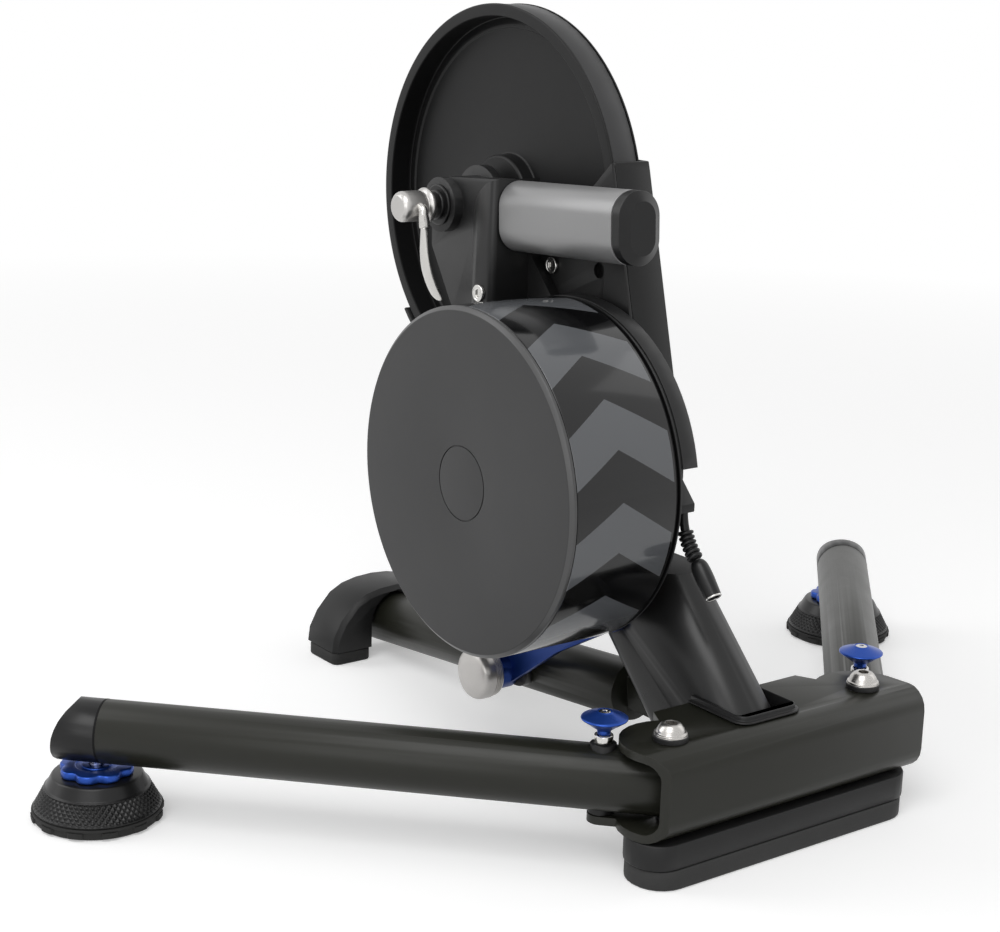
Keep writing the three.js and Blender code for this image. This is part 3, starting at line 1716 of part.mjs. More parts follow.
// Freehub body and sprocket stack
const freehubPiece = turnedX(
  [
    [axleRadius + gap, pulleyRight + gap],
    [freehubFlange, pulleyRight + gap],
    [freehubFlange, freehubLeft],
    [freehubRadius, freehubLeft],
    [freehubRadius, freehubRight],
    [axleRadius + gap, freehubRight],
  ],
  hubY,
  hubZ,
  roundSteps,
);
add("freehub_body", freehubPiece, brightSteel);
function sprocket(teeth, left) {
  const pitchRadius = chainPitch / (2 * Math.sin(Math.PI / teeth));
  const outline = [];
  for (let i = 0; i < teeth; i += 1) {
    for (const [share, radius] of [
      [toothFlankShare, pitchRadius - toothDepth],
      [1 - toothFlankShare, pitchRadius + toothDepth / 2],
    ]) {
      const angle = (2 * Math.PI * (i + share)) / teeth;
      outline.push([hubY + radius * Math.cos(angle), hubZ + radius * Math.sin(angle)]);
    }
  }
  return slabX(outline, left, left + sprocketThick);
}
const sprockets = sprocketTeeth.map((teeth, i) => sprocket(teeth, cassetteStart + i * sprocketPitch));
const cassetteEnd = cassetteStart + sprocketTeeth.length * sprocketPitch;
const cassettePiece = cut(
  join(
    ...sprockets,
    discX(spacerRadius, cassetteStart, cassetteEnd, hubY, hubZ, roundSteps),
  ),
  discX(freehubRadius + gap, 0, 2 * freehubRight, hubY, hubZ, roundSteps),
);
add("cassette", cassettePiece, brightSteel);

// Quick release
const rodPiece = discX(
  skewerRadius,
  skewerHeadRight - overrun + gap,
  skewerNutRight - skewerNutThick / 3,
  hubY,
  hubZ,
  tinySteps,
);
const headPiece = cut(
  turnedX(
    [
      [0, skewerHeadLeft],
      [skewerHeadRadius - headEdge, skewerHeadLeft],
      [skewerHeadRadius, skewerHeadLeft + headEdge],
      [skewerHeadRadius, skewerHeadRight - skewerFlangeThick],
      [skewerFlange, skewerHeadRight - skewerFlangeThick],
      [skewerFlange, skewerHeadRight],
      [0, skewerHeadRight],
    ],
    hubY,
    hubZ,
    roundSteps,
  ),
  discX(skewerRadius + gap, skewerHeadRight - overrun, 0, hubY, hubZ, tinySteps),
  slabY(
    arc(leverPivotX, hubZ, leverPinRadius + gap, 0, pinLastDegrees, pinSpans),
    hubY - 2 * skewerHeadRadius,
    hubY + 2 * skewerHeadRadius,
  ),
);
add("skewer_rod", rodPiece, brightSteel);
add("skewer_head", headPiece, brightSteel);
const nutLeft = skewerNutRight - skewerNutThick;
const nutPiece = discX(skewerNutRadius, nutLeft, skewerNutRight, hubY, hubZ, arcSteps).subtract(
  discX(
    skewerRadius + gap,
    nutLeft - overrun,
    skewerNutRight - skewerNutThick / 3 + gap,
    hubY,
    hubZ,
    tinySteps,
  ),
);
add("skewer_nut", nutPiece, brightSteel);
const leverRoot = hubY - skewerHeadRadius - gap;
const paddleOutline = rounded([
  [leverPivotX - leverNeckRadius, hubZ],
  [leverPivotX - leverNeckRadius, hubZ - leverLength / 3, leverBow],
  [leverPivotX + leverBow - leverPaddleThick, hubZ - leverLength],
  [leverPivotX + leverBow, hubZ - leverLength],
  [leverPivotX + leverNeckRadius, hubZ - leverLength / 3, leverBow],
  [leverPivotX + leverNeckRadius, hubZ],
]);
const leverPin = arc(leverPivotX, hubZ, leverPinRadius, 0, pinLastDegrees, pinSpans);
const leverPiece = join(
  slabY(leverPin, leverRoot - leverDisc, hubY + skewerHeadRadius),
  slabY(
    arc(leverPivotX, hubZ, 2 * leverPinRadius, 0, pinLastDegrees, pinSpans),
    leverRoot - leverDisc,
    leverRoot,
  ),
  slabY(paddleOutline, leverRoot - leverDisc, leverRoot),
  slabY(paddleOutline, leverRoot - leverDisc, leverRoot - leverDisc + leverPaddleWide).intersect(
    box(-2 * wallRight, wallRight, 0, hubY, 0, hubZ - skewerFlange - overrun),
  ),
);
add("skewer_lever", leverPiece, brightSteel);

// The frame's origin is the centre of the footprint
layout.position.set(0, -frontFront / 2, 0);

export default trainer;
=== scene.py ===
"""Looks of a direct drive bike trainer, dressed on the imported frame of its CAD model."""

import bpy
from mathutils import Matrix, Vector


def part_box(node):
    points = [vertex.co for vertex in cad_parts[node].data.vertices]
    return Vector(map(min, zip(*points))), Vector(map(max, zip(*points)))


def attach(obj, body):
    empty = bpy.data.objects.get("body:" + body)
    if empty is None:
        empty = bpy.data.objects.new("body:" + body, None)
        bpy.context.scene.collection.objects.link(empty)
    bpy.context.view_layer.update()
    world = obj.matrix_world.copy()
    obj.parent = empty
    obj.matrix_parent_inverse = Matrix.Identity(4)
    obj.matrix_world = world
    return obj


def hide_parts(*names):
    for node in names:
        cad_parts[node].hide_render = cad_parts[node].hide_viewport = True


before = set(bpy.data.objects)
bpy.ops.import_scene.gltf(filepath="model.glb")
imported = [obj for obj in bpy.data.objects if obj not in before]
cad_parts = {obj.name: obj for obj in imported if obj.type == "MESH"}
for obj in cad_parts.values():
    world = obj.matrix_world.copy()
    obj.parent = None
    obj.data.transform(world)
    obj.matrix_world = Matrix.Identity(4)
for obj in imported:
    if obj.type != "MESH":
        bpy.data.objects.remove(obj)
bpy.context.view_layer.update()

import logging
import math
from dataclasses import dataclass, field
from enum import Enum
from typing import Callable, Optional, Sequence

import bmesh
import bpy
import numpy as np
from mathutils import Matrix, Vector

logging.basicConfig(level=logging.INFO, format="%(message)s")
LOG = logging.getLogger("trainer")

MM = 0.001  # metres; lengths are in millimetres until a mesh or a node takes them
TURN = 2.0 * math.pi
SHARP = 34.0  # degrees; an edge above it stays sharp, unless a piece has its own limit
Array = np.ndarray
Outline = Sequence[Sequence[float]]


class Axis(Enum):
    """The frame axis that a turned or extruded piece runs along."""

    X = 0
    Y = 1
    Z = 2


class Side(Enum):
    """The side of the trainer that a leg and its foot are on."""

    LEFT = -1
    RIGHT = 1

    @property
    def word(self) -> str:
        """The side's name as the CAD nodes write it."""
        return self.name.lower()


# ---------------------------------------------------------------- shader maths


def operator(operation: str, reflected: bool = False) -> Callable:
    """A method of Sock that adds one Math node.

    Args:
        operation: the Math node's operation.
        reflected: whether this value comes second, as in 1 - mask.

    Returns:
        The method, which takes the other values or sockets.
    """

    def method(self: "Sock", *others: "Sock | float") -> "Sock":
        """Adds the node and returns its result."""
        terms = [*others, self] if reflected else [self, *others]
        return self.net.add("ShaderNodeMath", {"operation": operation}, dict(enumerate(terms)))

    return method


class Sock:
    """A node socket on which an arithmetic expression adds Math nodes."""

    def __init__(self, net: "Net", socket: bpy.types.NodeSocket) -> None:
        """Keeps the net that the socket is in, and the socket."""
        self.net = net
        self.socket = socket

    __add__ = __radd__ = operator("ADD")
    __sub__, __rsub__ = operator("SUBTRACT"), operator("SUBTRACT", reflected=True)
    __mul__ = __rmul__ = operator("MULTIPLY")
    __lt__, __gt__ = operator("LESS_THAN"), operator("GREATER_THAN")
    __abs__, part, angle_over = operator("ABSOLUTE"), operator("FRACT"), operator("ARCTAN2")
    root, sine = operator("SQRT"), operator("SINE")

    def ramp(self, low: float, high: float) -> "Sock":
        """0 at low, 1 at high, straight between, held outside."""
        return self.net.add(
            "ShaderNodeMapRange",
            {"clamp": True},
            {"Value": self, "From Min": low, "From Max": high},
        )


class Net:
    """A material's or the world's node tree."""

    def __init__(self, tree: bpy.types.NodeTree) -> None:
        """Empties the tree and keeps it."""
        self.tree = tree
        tree.nodes.clear()

    def add(
        self, kind: str, settings: Optional[dict] = None, inputs: Optional[dict] = None, out: "int | str" = 0
    ) -> Sock:
        """Adds one node.

        Args:
            kind: the node's type.
            settings: attributes that are set first.
            inputs: values or sockets by input name or number.
            out: the output that is returned.

        Returns:
            The chosen output.
        """
        node = self.tree.nodes.new(kind)
        for name, value in (settings or {}).items():
            setattr(node, name, value)
        for name, value in (inputs or {}).items():
            if isinstance(value, Sock):
                self.tree.links.new(value.socket, node.inputs[name])
            else:
                node.inputs[name].default_value = value
        return Sock(self, node.outputs[out]) if len(node.outputs) else Sock(self, node.inputs[0])

    def place(self, centre: Sequence[float] = (0.0, 0.0, 0.0)) -> Sock:
        """The point on the object, in metres, measured from centre in millimetres."""
        here = self.add("ShaderNodeTexCoord", out="Object")
        return self.add(
            "ShaderNodeVectorMath",
            {"operation": "SUBTRACT"},
            {0: here, 1: tuple(c * MM for c in centre)},
        )

    def axes(self, point: Sock) -> tuple[Sock, Sock, Sock]:
        """The three parts of a point."""
        split = self.add("ShaderNodeSeparateXYZ", None, {0: point})
        node = split.socket.node
        return tuple(Sock(self, node.outputs[i]) for i in range(3))

    def join(self, x: "Sock | float", y: "Sock | float", z: "Sock | float") -> Sock:
        """A point from its three parts."""
        return self.add("ShaderNodeCombineXYZ", None, {0: x, 1: y, 2: z})

    def noise(self, point: Sock, pitch: float, detail: float = 2.0, rough: float = 0.5) -> Sock:
        """Soft noise from 0 to 1 whose blobs are about pitch wide."""
        return self.add(
            "ShaderNodeTexNoise",
            {"noise_dimensions": "3D"},
            {"Vector": point, "Scale": 1.0 / (pitch * MM), "Detail": detail, "Roughness": rough},
        )

    def cells(self, point: Sock, pitch: float) -> Sock:
        """Distance to the nearest of points that lie about pitch apart."""
        return self.add(
            "ShaderNodeTexVoronoi",
            {"feature": "F1"},
            {"Vector": point, "Scale": 1.0 / (pitch * MM)},
            out="Distance",
        )

    def mix(
        self, share: "Sock | float", first: "Sock | Sequence[float]", second: "Sock | Sequence[float]"
    ) -> Sock:
        """The first colour where share is 0, the second where it is 1."""
        node = self.tree.nodes.new("ShaderNodeMix")
        node.data_type = "RGBA"
        for slot, value in ((0, share), (6, first), (7, second)):
            if isinstance(value, Sock):
                self.tree.links.new(value.socket, node.inputs[slot])
            elif slot == 0:
                node.inputs[slot].default_value = value
            else:
                node.inputs[slot].default_value = (*value[:3], 1.0)
        return Sock(self, node.outputs[2])

    def plainly_seen(self) -> Sock:
        """1 for rays of the camera, of a gloss or through glass, else 0."""
        kinds = ("Camera", "Glossy", "Transmission")
        seen, glossy, passed = (self.add("ShaderNodeLightPath", out=f"Is {kind} Ray") for kind in kinds)
        return (seen + glossy + passed).ramp(0.0, 1.0)

    def bump(self, height: Sock, depth: float) -> Sock:
        """A normal from a height from 0 to 1 that stands for depth."""
        return self.add(
            "ShaderNodeBump",
            None,
            {"Strength": 1.0, "Distance": depth * MM, "Height": height},
            out="Normal",
        )


# ---------------------------------------------------------------- finishes


@dataclass(frozen=True)
class Finish:
    """A surface finish: one base colour with grain and mottling.

    The grain is fine noise that feeds the bump, the mottling is broad noise
    that shifts the colour and the roughness.
    """

    name: str
    slot: str
    colour: tuple[float, float, float]
    roughness: float
    metallic: float = 0.0
    specular: float = 0.5
    coat: float = 0.0
    grain: float = 0.6
    grain_depth: float = 0.02
    blotch: float = 40
    colour_spread: float = 0.12
    rough_spread: float = 0.08
    ior: float = 1.5

    def colour_net(self, net: Net, point: Sock) -> Sock:
        """The colour over the surface: the base colour, darker and lighter by broad and fine noise."""
        low = tuple(c * (1.0 - self.colour_spread) for c in self.colour)
        high = tuple(min(1.0, c * (1.0 + self.colour_spread)) for c in self.colour)
        broad = net.noise(point, self.blotch, 3.0)
        fine = net.noise(point, self.grain, 1.0)
        return net.mix((broad * 0.6 + fine * 0.4).ramp(0.3, 0.7), low, high)

    def rough_net(self, net: Net, point: Sock) -> Sock:
        """The roughness over the surface: the base value, moved by broad smears and fine grain."""
        smear = net.noise(point, self.blotch * 0.45, 4.0, 0.6)
        fine = net.noise(point, self.grain * 1.7, 1.0)
        return (smear * 0.7 + fine * 0.3 - 0.5) * (2.0 * self.rough_spread) + self.roughness

    def height_net(self, net: Net, point: Sock) -> Sock:
        """The height of the grain, from 0 to 1."""
        return net.noise(point, self.grain, 2.0, 0.55)

    def material(self) -> bpy.types.Material:
        """Makes the material once and returns it after that."""
        made = bpy.data.materials.get("finish_" + self.name)
        if made is not None:
            return made
        made = bpy.data.materials.new("finish_" + self.name)
        made.use_nodes = True
        net = Net(made.node_tree)
        point = net.place()
        shader = net.add(
            "ShaderNodeBsdfPrincipled",
            None,
            {
                "Base Color": self.colour_net(net, point),
                "Roughness": self.rough_net(net, point),
                "Metallic": self.metallic,
                "Specular IOR Level": self.specular,
                "Coat Weight": self.coat,
                "Coat Roughness": 0.06,
                "IOR": self.ior,
                "Normal": net.bump(self.height_net(net, point), self.grain_depth),
            },
        )
        net.add("ShaderNodeOutputMaterial", None, {"Surface": shader})
        made.diffuse_color = (*self.colour, 1.0)
        return made


@dataclass(frozen=True)
class Chevrons(Finish):
    """Gloss rim with grey chevrons on black.

    The chevron's phase is the angle round the axle less a slope times the
    distance from the line of the tips, as a share of the chevron's pitch. It
    is grey in the first half of each pitch.
    """

    centre: tuple[float, float, float] = (0.0, 0.0, 0.0)
    tip_x: float = -88.3
    slope: float = math.radians(0.334)
    start: float = math.radians(110.2)
    count: int = 11
    grey: tuple[float, float, float] = (0.112, 0.117, 0.125)
    band: tuple[float, float] = (-120.9, -50.2)
    inner: float = 104.5

    def colour_net(self, net: Net, point: Sock) -> Sock:
        """Black with grey chevrons round the rim."""
        x, y, z = net.axes(net.place(self.centre))
        tips, low, high = ((side - self.centre[0]) * MM for side in (self.tip_x, *self.band))
        angle = z.angle_over(y) - abs(x - tips) * (self.slope / MM) - self.start + TURN
        grey = (angle * (self.count / TURN)).part() < 0.5
        inside = (x > low) * (x < high)
        rim = (y * y + z * z) > (self.inner * MM) ** 2
        plain = super().colour_net(net, point)
        return net.mix(grey * inside * rim, plain, self.grey)


@dataclass(frozen=True)
class Turned(Finish):
    """Turned or brushed metal: fine rings round an axis in roughness and height.

    The rings are noise along the axis and the radius alone, so they close
    round the piece.
    """

    centre: tuple[float, float, float] = (0.0, 0.0, 0.0)
    axis: Axis = Axis.X
    ring: float = 0.35
    metallic: float = 1.0
    grain_depth: float = 0.004
    colour_spread: float = 0.05
    rough_spread: float = 0.05

    def rings(self, net: Net) -> Sock:
        """Noise that changes along the axis and the radius only."""
        parts = list(net.axes(net.place(self.centre)))
        along = parts.pop(self.axis.value)
        radius = (parts[0] * parts[0] + parts[1] * parts[1]).root()
        return net.noise(net.join(along, radius, 0.0), self.ring, 3.0, 0.6)

    def rough_net(self, net: Net, point: Sock) -> Sock:
        """Roughness in rings."""
        return (self.rings(net) - 0.5) * (2.5 * self.rough_spread) + super().rough_net(net, point)

    def height_net(self, net: Net, point: Sock) -> Sock:
        """The rings with a little grain."""
        return self.rings(net) * 0.7 + super().height_net(net, point) * 0.3


@dataclass(frozen=True)
class Brushed(Finish):
    """Metal brushed along one axis: noise that is long along it and fine across it."""

    axis: Axis = Axis.Y
    stretch: float = 0.02

    def strokes(self, net: Net, point: Sock) -> Sock:
        """Noise that is drawn out along the axis."""
        factors = [1.0, 1.0, 1.0]
        factors[self.axis.value] = self.stretch
        drawn = net.add("ShaderNodeVectorMath", {"operation": "MULTIPLY"}, {0: point, 1: tuple(factors)})
        return net.noise(drawn, self.grain, 4.0, 0.6)

    def rough_net(self, net: Net, point: Sock) -> Sock:
        """Roughness in strokes."""
        return (self.strokes(net, point) - 0.5) * (2.5 * self.rough_spread) + super().rough_net(net, point)

    def height_net(self, net: Net, point: Sock) -> Sock:
        """The strokes as height."""
        return self.strokes(net, point)


@dataclass(frozen=True)
class Speckled(Finish):
    """Moulded plastic or powder paint: small round pits with soft grain between them."""

    pit: float = 0.6
    grain: float = 0.35
    grain_depth: float = 0.016

    def height_net(self, net: Net, point: Sock) -> Sock:
        """Pits from the distance to scattered points, with grain on top."""
        return net.cells(point, self.pit).ramp(0.1, 0.8) * 0.6 + super().height_net(net, point) * 0.4


@dataclass(frozen=True)
class Winding(Finish):
    """Enamelled copper wire: close ribs round each pole of the coil ring."""

    wire: float = 1.6

    def height_net(self, net: Net, point: Sock) -> Sock:
        """Round ribs across the axle's direction."""
        x, _, _ = net.axes(point)
        return (x * (TURN / (self.wire * MM))).sine() * 0.5 + 0.5

    def colour_net(self, net: Net, point: Sock) -> Sock:
        """Copper with painted shade, darker between the ribs."""
        # Painted shade: a quarter of the copper's colour in the valleys between the ribs.
        dark = tuple(c * 0.25 for c in self.colour)
        return net.mix(self.height_net(net, point), dark, super().colour_net(net, point))


WHEEL_AXIS = (0.0, -58.0, 204.8)
HUB_AXIS = (0.0, 62.5, 353.5)
CLAMP_AXIS = (0.0, 21.5, 45.6)
FOLD_BOLT = (78, -201.5)

POWDER = Speckled(
    "powder_paint", "painted_steel", (0.0130, 0.0133, 0.0096), 0.37,
    specular=0.31, grain=0.5, grain_depth=0.012, pit=0.8, blotch=70, colour_spread=0.08,
)
MAST_PAINT = Speckled(
    "mast_paint", "painted_steel", (0.0125, 0.0125, 0.0127), 0.30,
    specular=0.36, grain=0.5, grain_depth=0.008, pit=0.8, blotch=70, colour_spread=0.08,
)
CASTING = Speckled(
    "satin_casting", "black_casting", (0.0110, 0.0110, 0.0113), 0.40,
    specular=0.36, grain=0.4, grain_depth=0.014, pit=0.7, blotch=55,
)
PULLEY = Speckled(
    "pulley_casting", "black_casting", (0.0064, 0.0064, 0.0066), 0.42,
    specular=0.23, grain=0.4, grain_depth=0.012, pit=0.7, blotch=70,
)
PLASTIC = Speckled("moulded_plastic", "black_plastic", (0.0090, 0.0090, 0.0092), 0.46, specular=0.30)
FOOT_PLASTIC = Speckled("foot_plastic", "black_plastic", (0.0070, 0.0070, 0.0072), 0.44, specular=0.26)
# Near black for the seal in each leg's seam, and for painted shade on the mast tube's top, the flywheel's back,
# the back rim's and housing's faces toward the flywheel, and the pulley's inner wall.
SHADE_AND_SEAM_BLACK = Speckled("deep_black", "black_rubber", (0.0035, 0.0035, 0.0037), 0.60, specular=0.14, grain_depth=0.012)
CAP_PLASTIC = Finish(
    "cap_plastic", "black_plastic", (0.0072, 0.0072, 0.0075), 0.32, specular=0.30, grain=0.5, grain_depth=0.006
)
PAD_RUBBER = Speckled(
    "pad_rubber", "black_rubber", (0.029, 0.029, 0.0287), 0.66,
    specular=0.34, grain=0.6, grain_depth=0.04, pit=1.2, colour_spread=0.15,
)
RUBBER = Speckled(
    "rubber", "black_rubber", (0.0195, 0.0194, 0.0190), 0.72,
    specular=0.30, grain=0.6, grain_depth=0.05, pit=1.2, colour_spread=0.2,
)
BELT_RUBBER = Finish("belt_rubber", "black_rubber", (0.030, 0.030, 0.031), 0.48, specular=0.42, grain=0.35)
COVER = Speckled(
    "cover_coat", "cover_grey", (0.0315, 0.0315, 0.0322), 0.48,
    specular=0.36, grain=0.4, grain_depth=0.010, pit=0.7, blotch=90, colour_spread=0.05,
)
COVER_EDGE = Finish(
    "cover_edge", "cover_grey", (0.060, 0.060, 0.061), 0.36, grain_depth=0.006, colour_spread=0.05
)
RIM = Chevrons(
    "rim_gloss", "rim_gloss", (0.0048, 0.0048, 0.0052), 0.12,
    specular=0.34, coat=0.22, grain=1.1, grain_depth=0.0015, rough_spread=0.03, centre=WHEEL_AXIS,
)
BLUE = Turned(
    "blue_anodised", "blue_anodised", (0.018, 0.070, 0.36), 0.30, metallic=0.70, colour_spread=0.10, axis=Axis.Z
)
# About half of BLUE's colour: painted shade for the strut in the shadow under the flywheel.
SHADED_STRUT_BLUE = Turned(
    "strut_blue", "blue_anodised", (0.010, 0.036, 0.18), 0.34,
    metallic=0.70, specular=0.4, colour_spread=0.10, axis=Axis.Z,
)
BOLT_STEEL = Turned("bolt_steel", "bright_steel", (0.50, 0.485, 0.465), 0.28, colour_spread=0.06, axis=Axis.Z)
KNOB_STEEL = Turned("knob_steel", "bright_steel", (0.49, 0.475, 0.46), 0.36, metallic=0.9, centre=CLAMP_AXIS)
HEAD_STEEL = Turned("head_steel", "bright_steel", (0.50, 0.49, 0.475), 0.33, grain_depth=0.001, centre=HUB_AXIS)
SPROCKETS = Turned(
    "sprocket_steel", "bright_steel", (0.55, 0.545, 0.53), 0.30,
    grain_depth=0.006, colour_spread=0.12, rough_spread=0.08, centre=HUB_AXIS,
)
STEEL = Finish(
    "polished_steel", "bright_steel", (0.62, 0.61, 0.59), 0.18,
    metallic=1.0, grain=0.7, grain_depth=0.002, colour_spread=0.05, rough_spread=0.05,
)
SATIN_STEEL = Finish(
    "satin_steel", "bright_steel", (0.74, 0.72, 0.69), 0.30,
    metallic=1.0, grain=0.3, grain_depth=0.006, colour_spread=0.06, rough_spread=0.07,
)
LEVER_STEEL = Finish(
    "lever_steel", "bright_steel", (0.56, 0.55, 0.53), 0.26,
    metallic=1.0, grain_depth=0.003, colour_spread=0.05, rough_spread=0.06,
)
GRIP = Brushed(
    "grip_grey", "grip_grey", (0.27, 0.27, 0.272), 0.36,
    metallic=0.35, grain=0.35, grain_depth=0.004, colour_spread=0.04, rough_spread=0.05,
)
COPPER = Winding("copper_coil", "copper_coil", (0.46, 0.19, 0.075), 0.32, metallic=0.9, grain_depth=0.5)


# ---------------------------------------------------------------- surfaces


def skin(
    name: str,
    points: Array,
    wrap_rows: bool = False,
    wrap_columns: bool = True,
    caps: bool = False,
    sharp: float = SHARP,
) -> bpy.types.Object:
    """Makes an object from a grid of points, closed and facing outwards.

    Args:
        name: the piece's name.
        points: the grid, rows by columns by three.
        wrap_rows: whether the last row joins the first.
        wrap_columns: whether the last column joins the first.
        caps: whether the first and last rows are filled.
        sharp: the angle in degrees above which an edge stays sharp.

    Returns:
        The object, at the origin.
    """
    rows, columns = points.shape[:2]
    u = np.arange(rows if wrap_rows else rows - 1)
    v = np.arange(columns if wrap_columns else columns - 1)
    i, j = np.meshgrid(u, v, indexing="ij")
    k, m = (i + 1) % rows, (j + 1) % columns
    quads = np.stack([i * columns + j, k * columns + j, k * columns + m, i * columns + m], -1)
    faces = quads.reshape(-1, 4).tolist()
    if caps:
        faces.append(list(range(columns)))
        faces.append(list(range((rows - 1) * columns, rows * columns)))
    mesh = bpy.data.meshes.new(name)
    mesh.from_pydata((points * MM).reshape(-1, 3).tolist(), [], faces)
    return finish_mesh(name, mesh, sharp)


def finish_mesh(name: str, mesh: bpy.types.Mesh, sharp: float = SHARP, flat: bool = False) -> bpy.types.Object:
    """Merges doubles, turns the faces outwards, smooths by angle and links the object.

    Args:
        name: the object's name.
        mesh: its mesh, in metres.
        sharp: the angle in degrees above which an edge stays sharp.
        flat: whether coplanar faces are joined.

    Returns:
        The object, at the origin.
    """
    work = bmesh.new()
    work.from_mesh(mesh)
    bmesh.ops.remove_doubles(work, verts=work.verts, dist=2e-6)
    bmesh.ops.dissolve_degenerate(work, edges=work.edges, dist=1e-7)
    if flat:
        bmesh.ops.dissolve_limit(
            work,
            angle_limit=math.radians(0.3),
            verts=work.verts,
            edges=work.edges,
            use_dissolve_boundaries=False,
        )
    bmesh.ops.recalc_face_normals(work, faces=work.faces)
    work.to_mesh(mesh)
    work.free()
    mesh.shade_smooth()
    mesh.set_sharp_from_angle(angle=math.radians(sharp))
    piece = bpy.data.objects.new(name, mesh)
    bpy.context.scene.collection.objects.link(piece)
    return piece


def eased(corners: Outline, steps: int = 4, closed: bool = False) -> Array:
    """A line through corners, each eased by its own radius.

    Each corner is (a, b) or (a, b, radius). The ease is the quadratic curve
    from radius before the corner to radius after it, at most 0.45 of each
    neighbouring run.

    Args:
        corners: the corners in order.
        steps: spans in each ease.
        closed: whether the last corner runs on to the first.

    Returns:
        The points, one row each.
    """
    spots = np.array([c[:2] for c in corners], float)
    radii = [c[2] if len(c) > 2 else 0.0 for c in corners]
    line: list[Array] = []
    count = len(spots)
    for n, radius in enumerate(radii):
        here = spots[n]
        if radius <= 0 or (not closed and n in (0, count - 1)):
            line.append(here[None])
            continue
        before, after = spots[n - 1] - here, spots[(n + 1) % count] - here
        reach_before = min(radius, 0.45 * np.linalg.norm(before)) / np.linalg.norm(before)
        reach_after = min(radius, 0.45 * np.linalg.norm(after)) / np.linalg.norm(after)
        start, end = here + before * reach_before, here + after * reach_after
        t = np.linspace(0.0, 1.0, steps + 1)[:, None]
        line.append((1 - t) ** 2 * start + 2 * t * (1 - t) * here + t**2 * end)
    return np.concatenate(line)


def turned(
    profile: Array, axis: Axis, centre: Sequence[float], steps: int, swell: Optional[Callable] = None
) -> Array:
    """A profile carried round an axis.

    A point is the centre, plus its height along the axis, plus its radius
    times the cosine and sine of the angle across it. Swell may change the
    radius by row and angle.

    Args:
        profile: rows of radius and height.
        axis: the frame axis.
        centre: a point on the axis; heights are frame coordinates when its part along the axis is 0.
        steps: points round the axis.
        swell: takes radius, height and angle grids, and returns the radius grid.

    Returns:
        The grid, profile by steps by three.
    """
    angle = np.linspace(0.0, TURN, steps, endpoint=False)[None, :]
    radius = np.repeat(profile[:, :1], steps, 1)
    height = np.repeat(profile[:, 1:2], steps, 1)
    if swell is not None:
        radius = swell(radius, height, angle + 0.0 * radius)
    across, up = radius * np.cos(angle), radius * np.sin(angle)
    order = {Axis.X: (height, across, up), Axis.Y: (up, height, across), Axis.Z: (across, up, height)}[axis]
    return np.stack(order, -1) + np.asarray(centre, float)


def oblong(wide: float, high: float, radius: float, steps: int = 12) -> Array:
    """A rectangle with round corners about the origin, as rows of across and up."""
    quarter = np.linspace(0.0, TURN / 4, steps + 1)
    corners = []
    for n, (sx, sy) in enumerate(((1, 1), (-1, 1), (-1, -1), (1, -1))):
        turn = quarter + n * TURN / 4
        across, up = sx * (wide / 2 - radius), sy * (high / 2 - radius)
        corners.append(np.stack([across + radius * np.cos(turn), up + radius * np.sin(turn)], -1))
    return np.concatenate(corners)


def inset(outline: Array, depth: "float | Array") -> Array:
    """A closed outline moved inwards, along the normal of the line between each point's neighbours.

    Args:
        outline: the points in order.
        depth: how far.

    Returns:
        The moved points.
    """
    forward = np.roll(outline, -1, 0) - np.roll(outline, 1, 0)
    length = np.linalg.norm(forward, axis=1, keepdims=True)
    inward = np.stack([-forward[:, 1], forward[:, 0]], -1) / np.maximum(length, 1e-9)
    area = np.sum(outline[:, 0] * np.roll(outline[:, 1], -1) - np.roll(outline[:, 0], -1) * outline[:, 1])
    return outline + inward * depth * (1.0 if area > 0 else -1.0)


def bar(outline: Array, axis: Axis, low: float, high: float, edge: float, steps: int = 3) -> Array:
    """An outline carried along an axis, its two rims rounded by edge.

    Each ring is the outline moved inwards by edge times one less the sine,
    at a height of edge times one less the cosine from its end.

    Args:
        outline: rows of the two other axes, in the frame's order.
        axis: the axis that it is carried along.
        low: where it starts.
        high: where it ends.
        edge: the radius of its rims.
        steps: spans in each rim.

    Returns:
        The grid, rings by points by three.
    """
    turn = np.linspace(0.0, TURN / 4, steps + 1)
    depth = edge * (1 - np.sin(turn))
    rise = edge * (1 - np.cos(turn))
    heights = np.concatenate([low + rise, high - rise[::-1]])
    depths = np.concatenate([depth, depth[::-1]])
    rings = []
    for height, down in zip(heights, depths):
        ring = inset(outline, down)
        rings.append(np.insert(ring, axis.value, height, axis=1))
    return np.stack(rings)


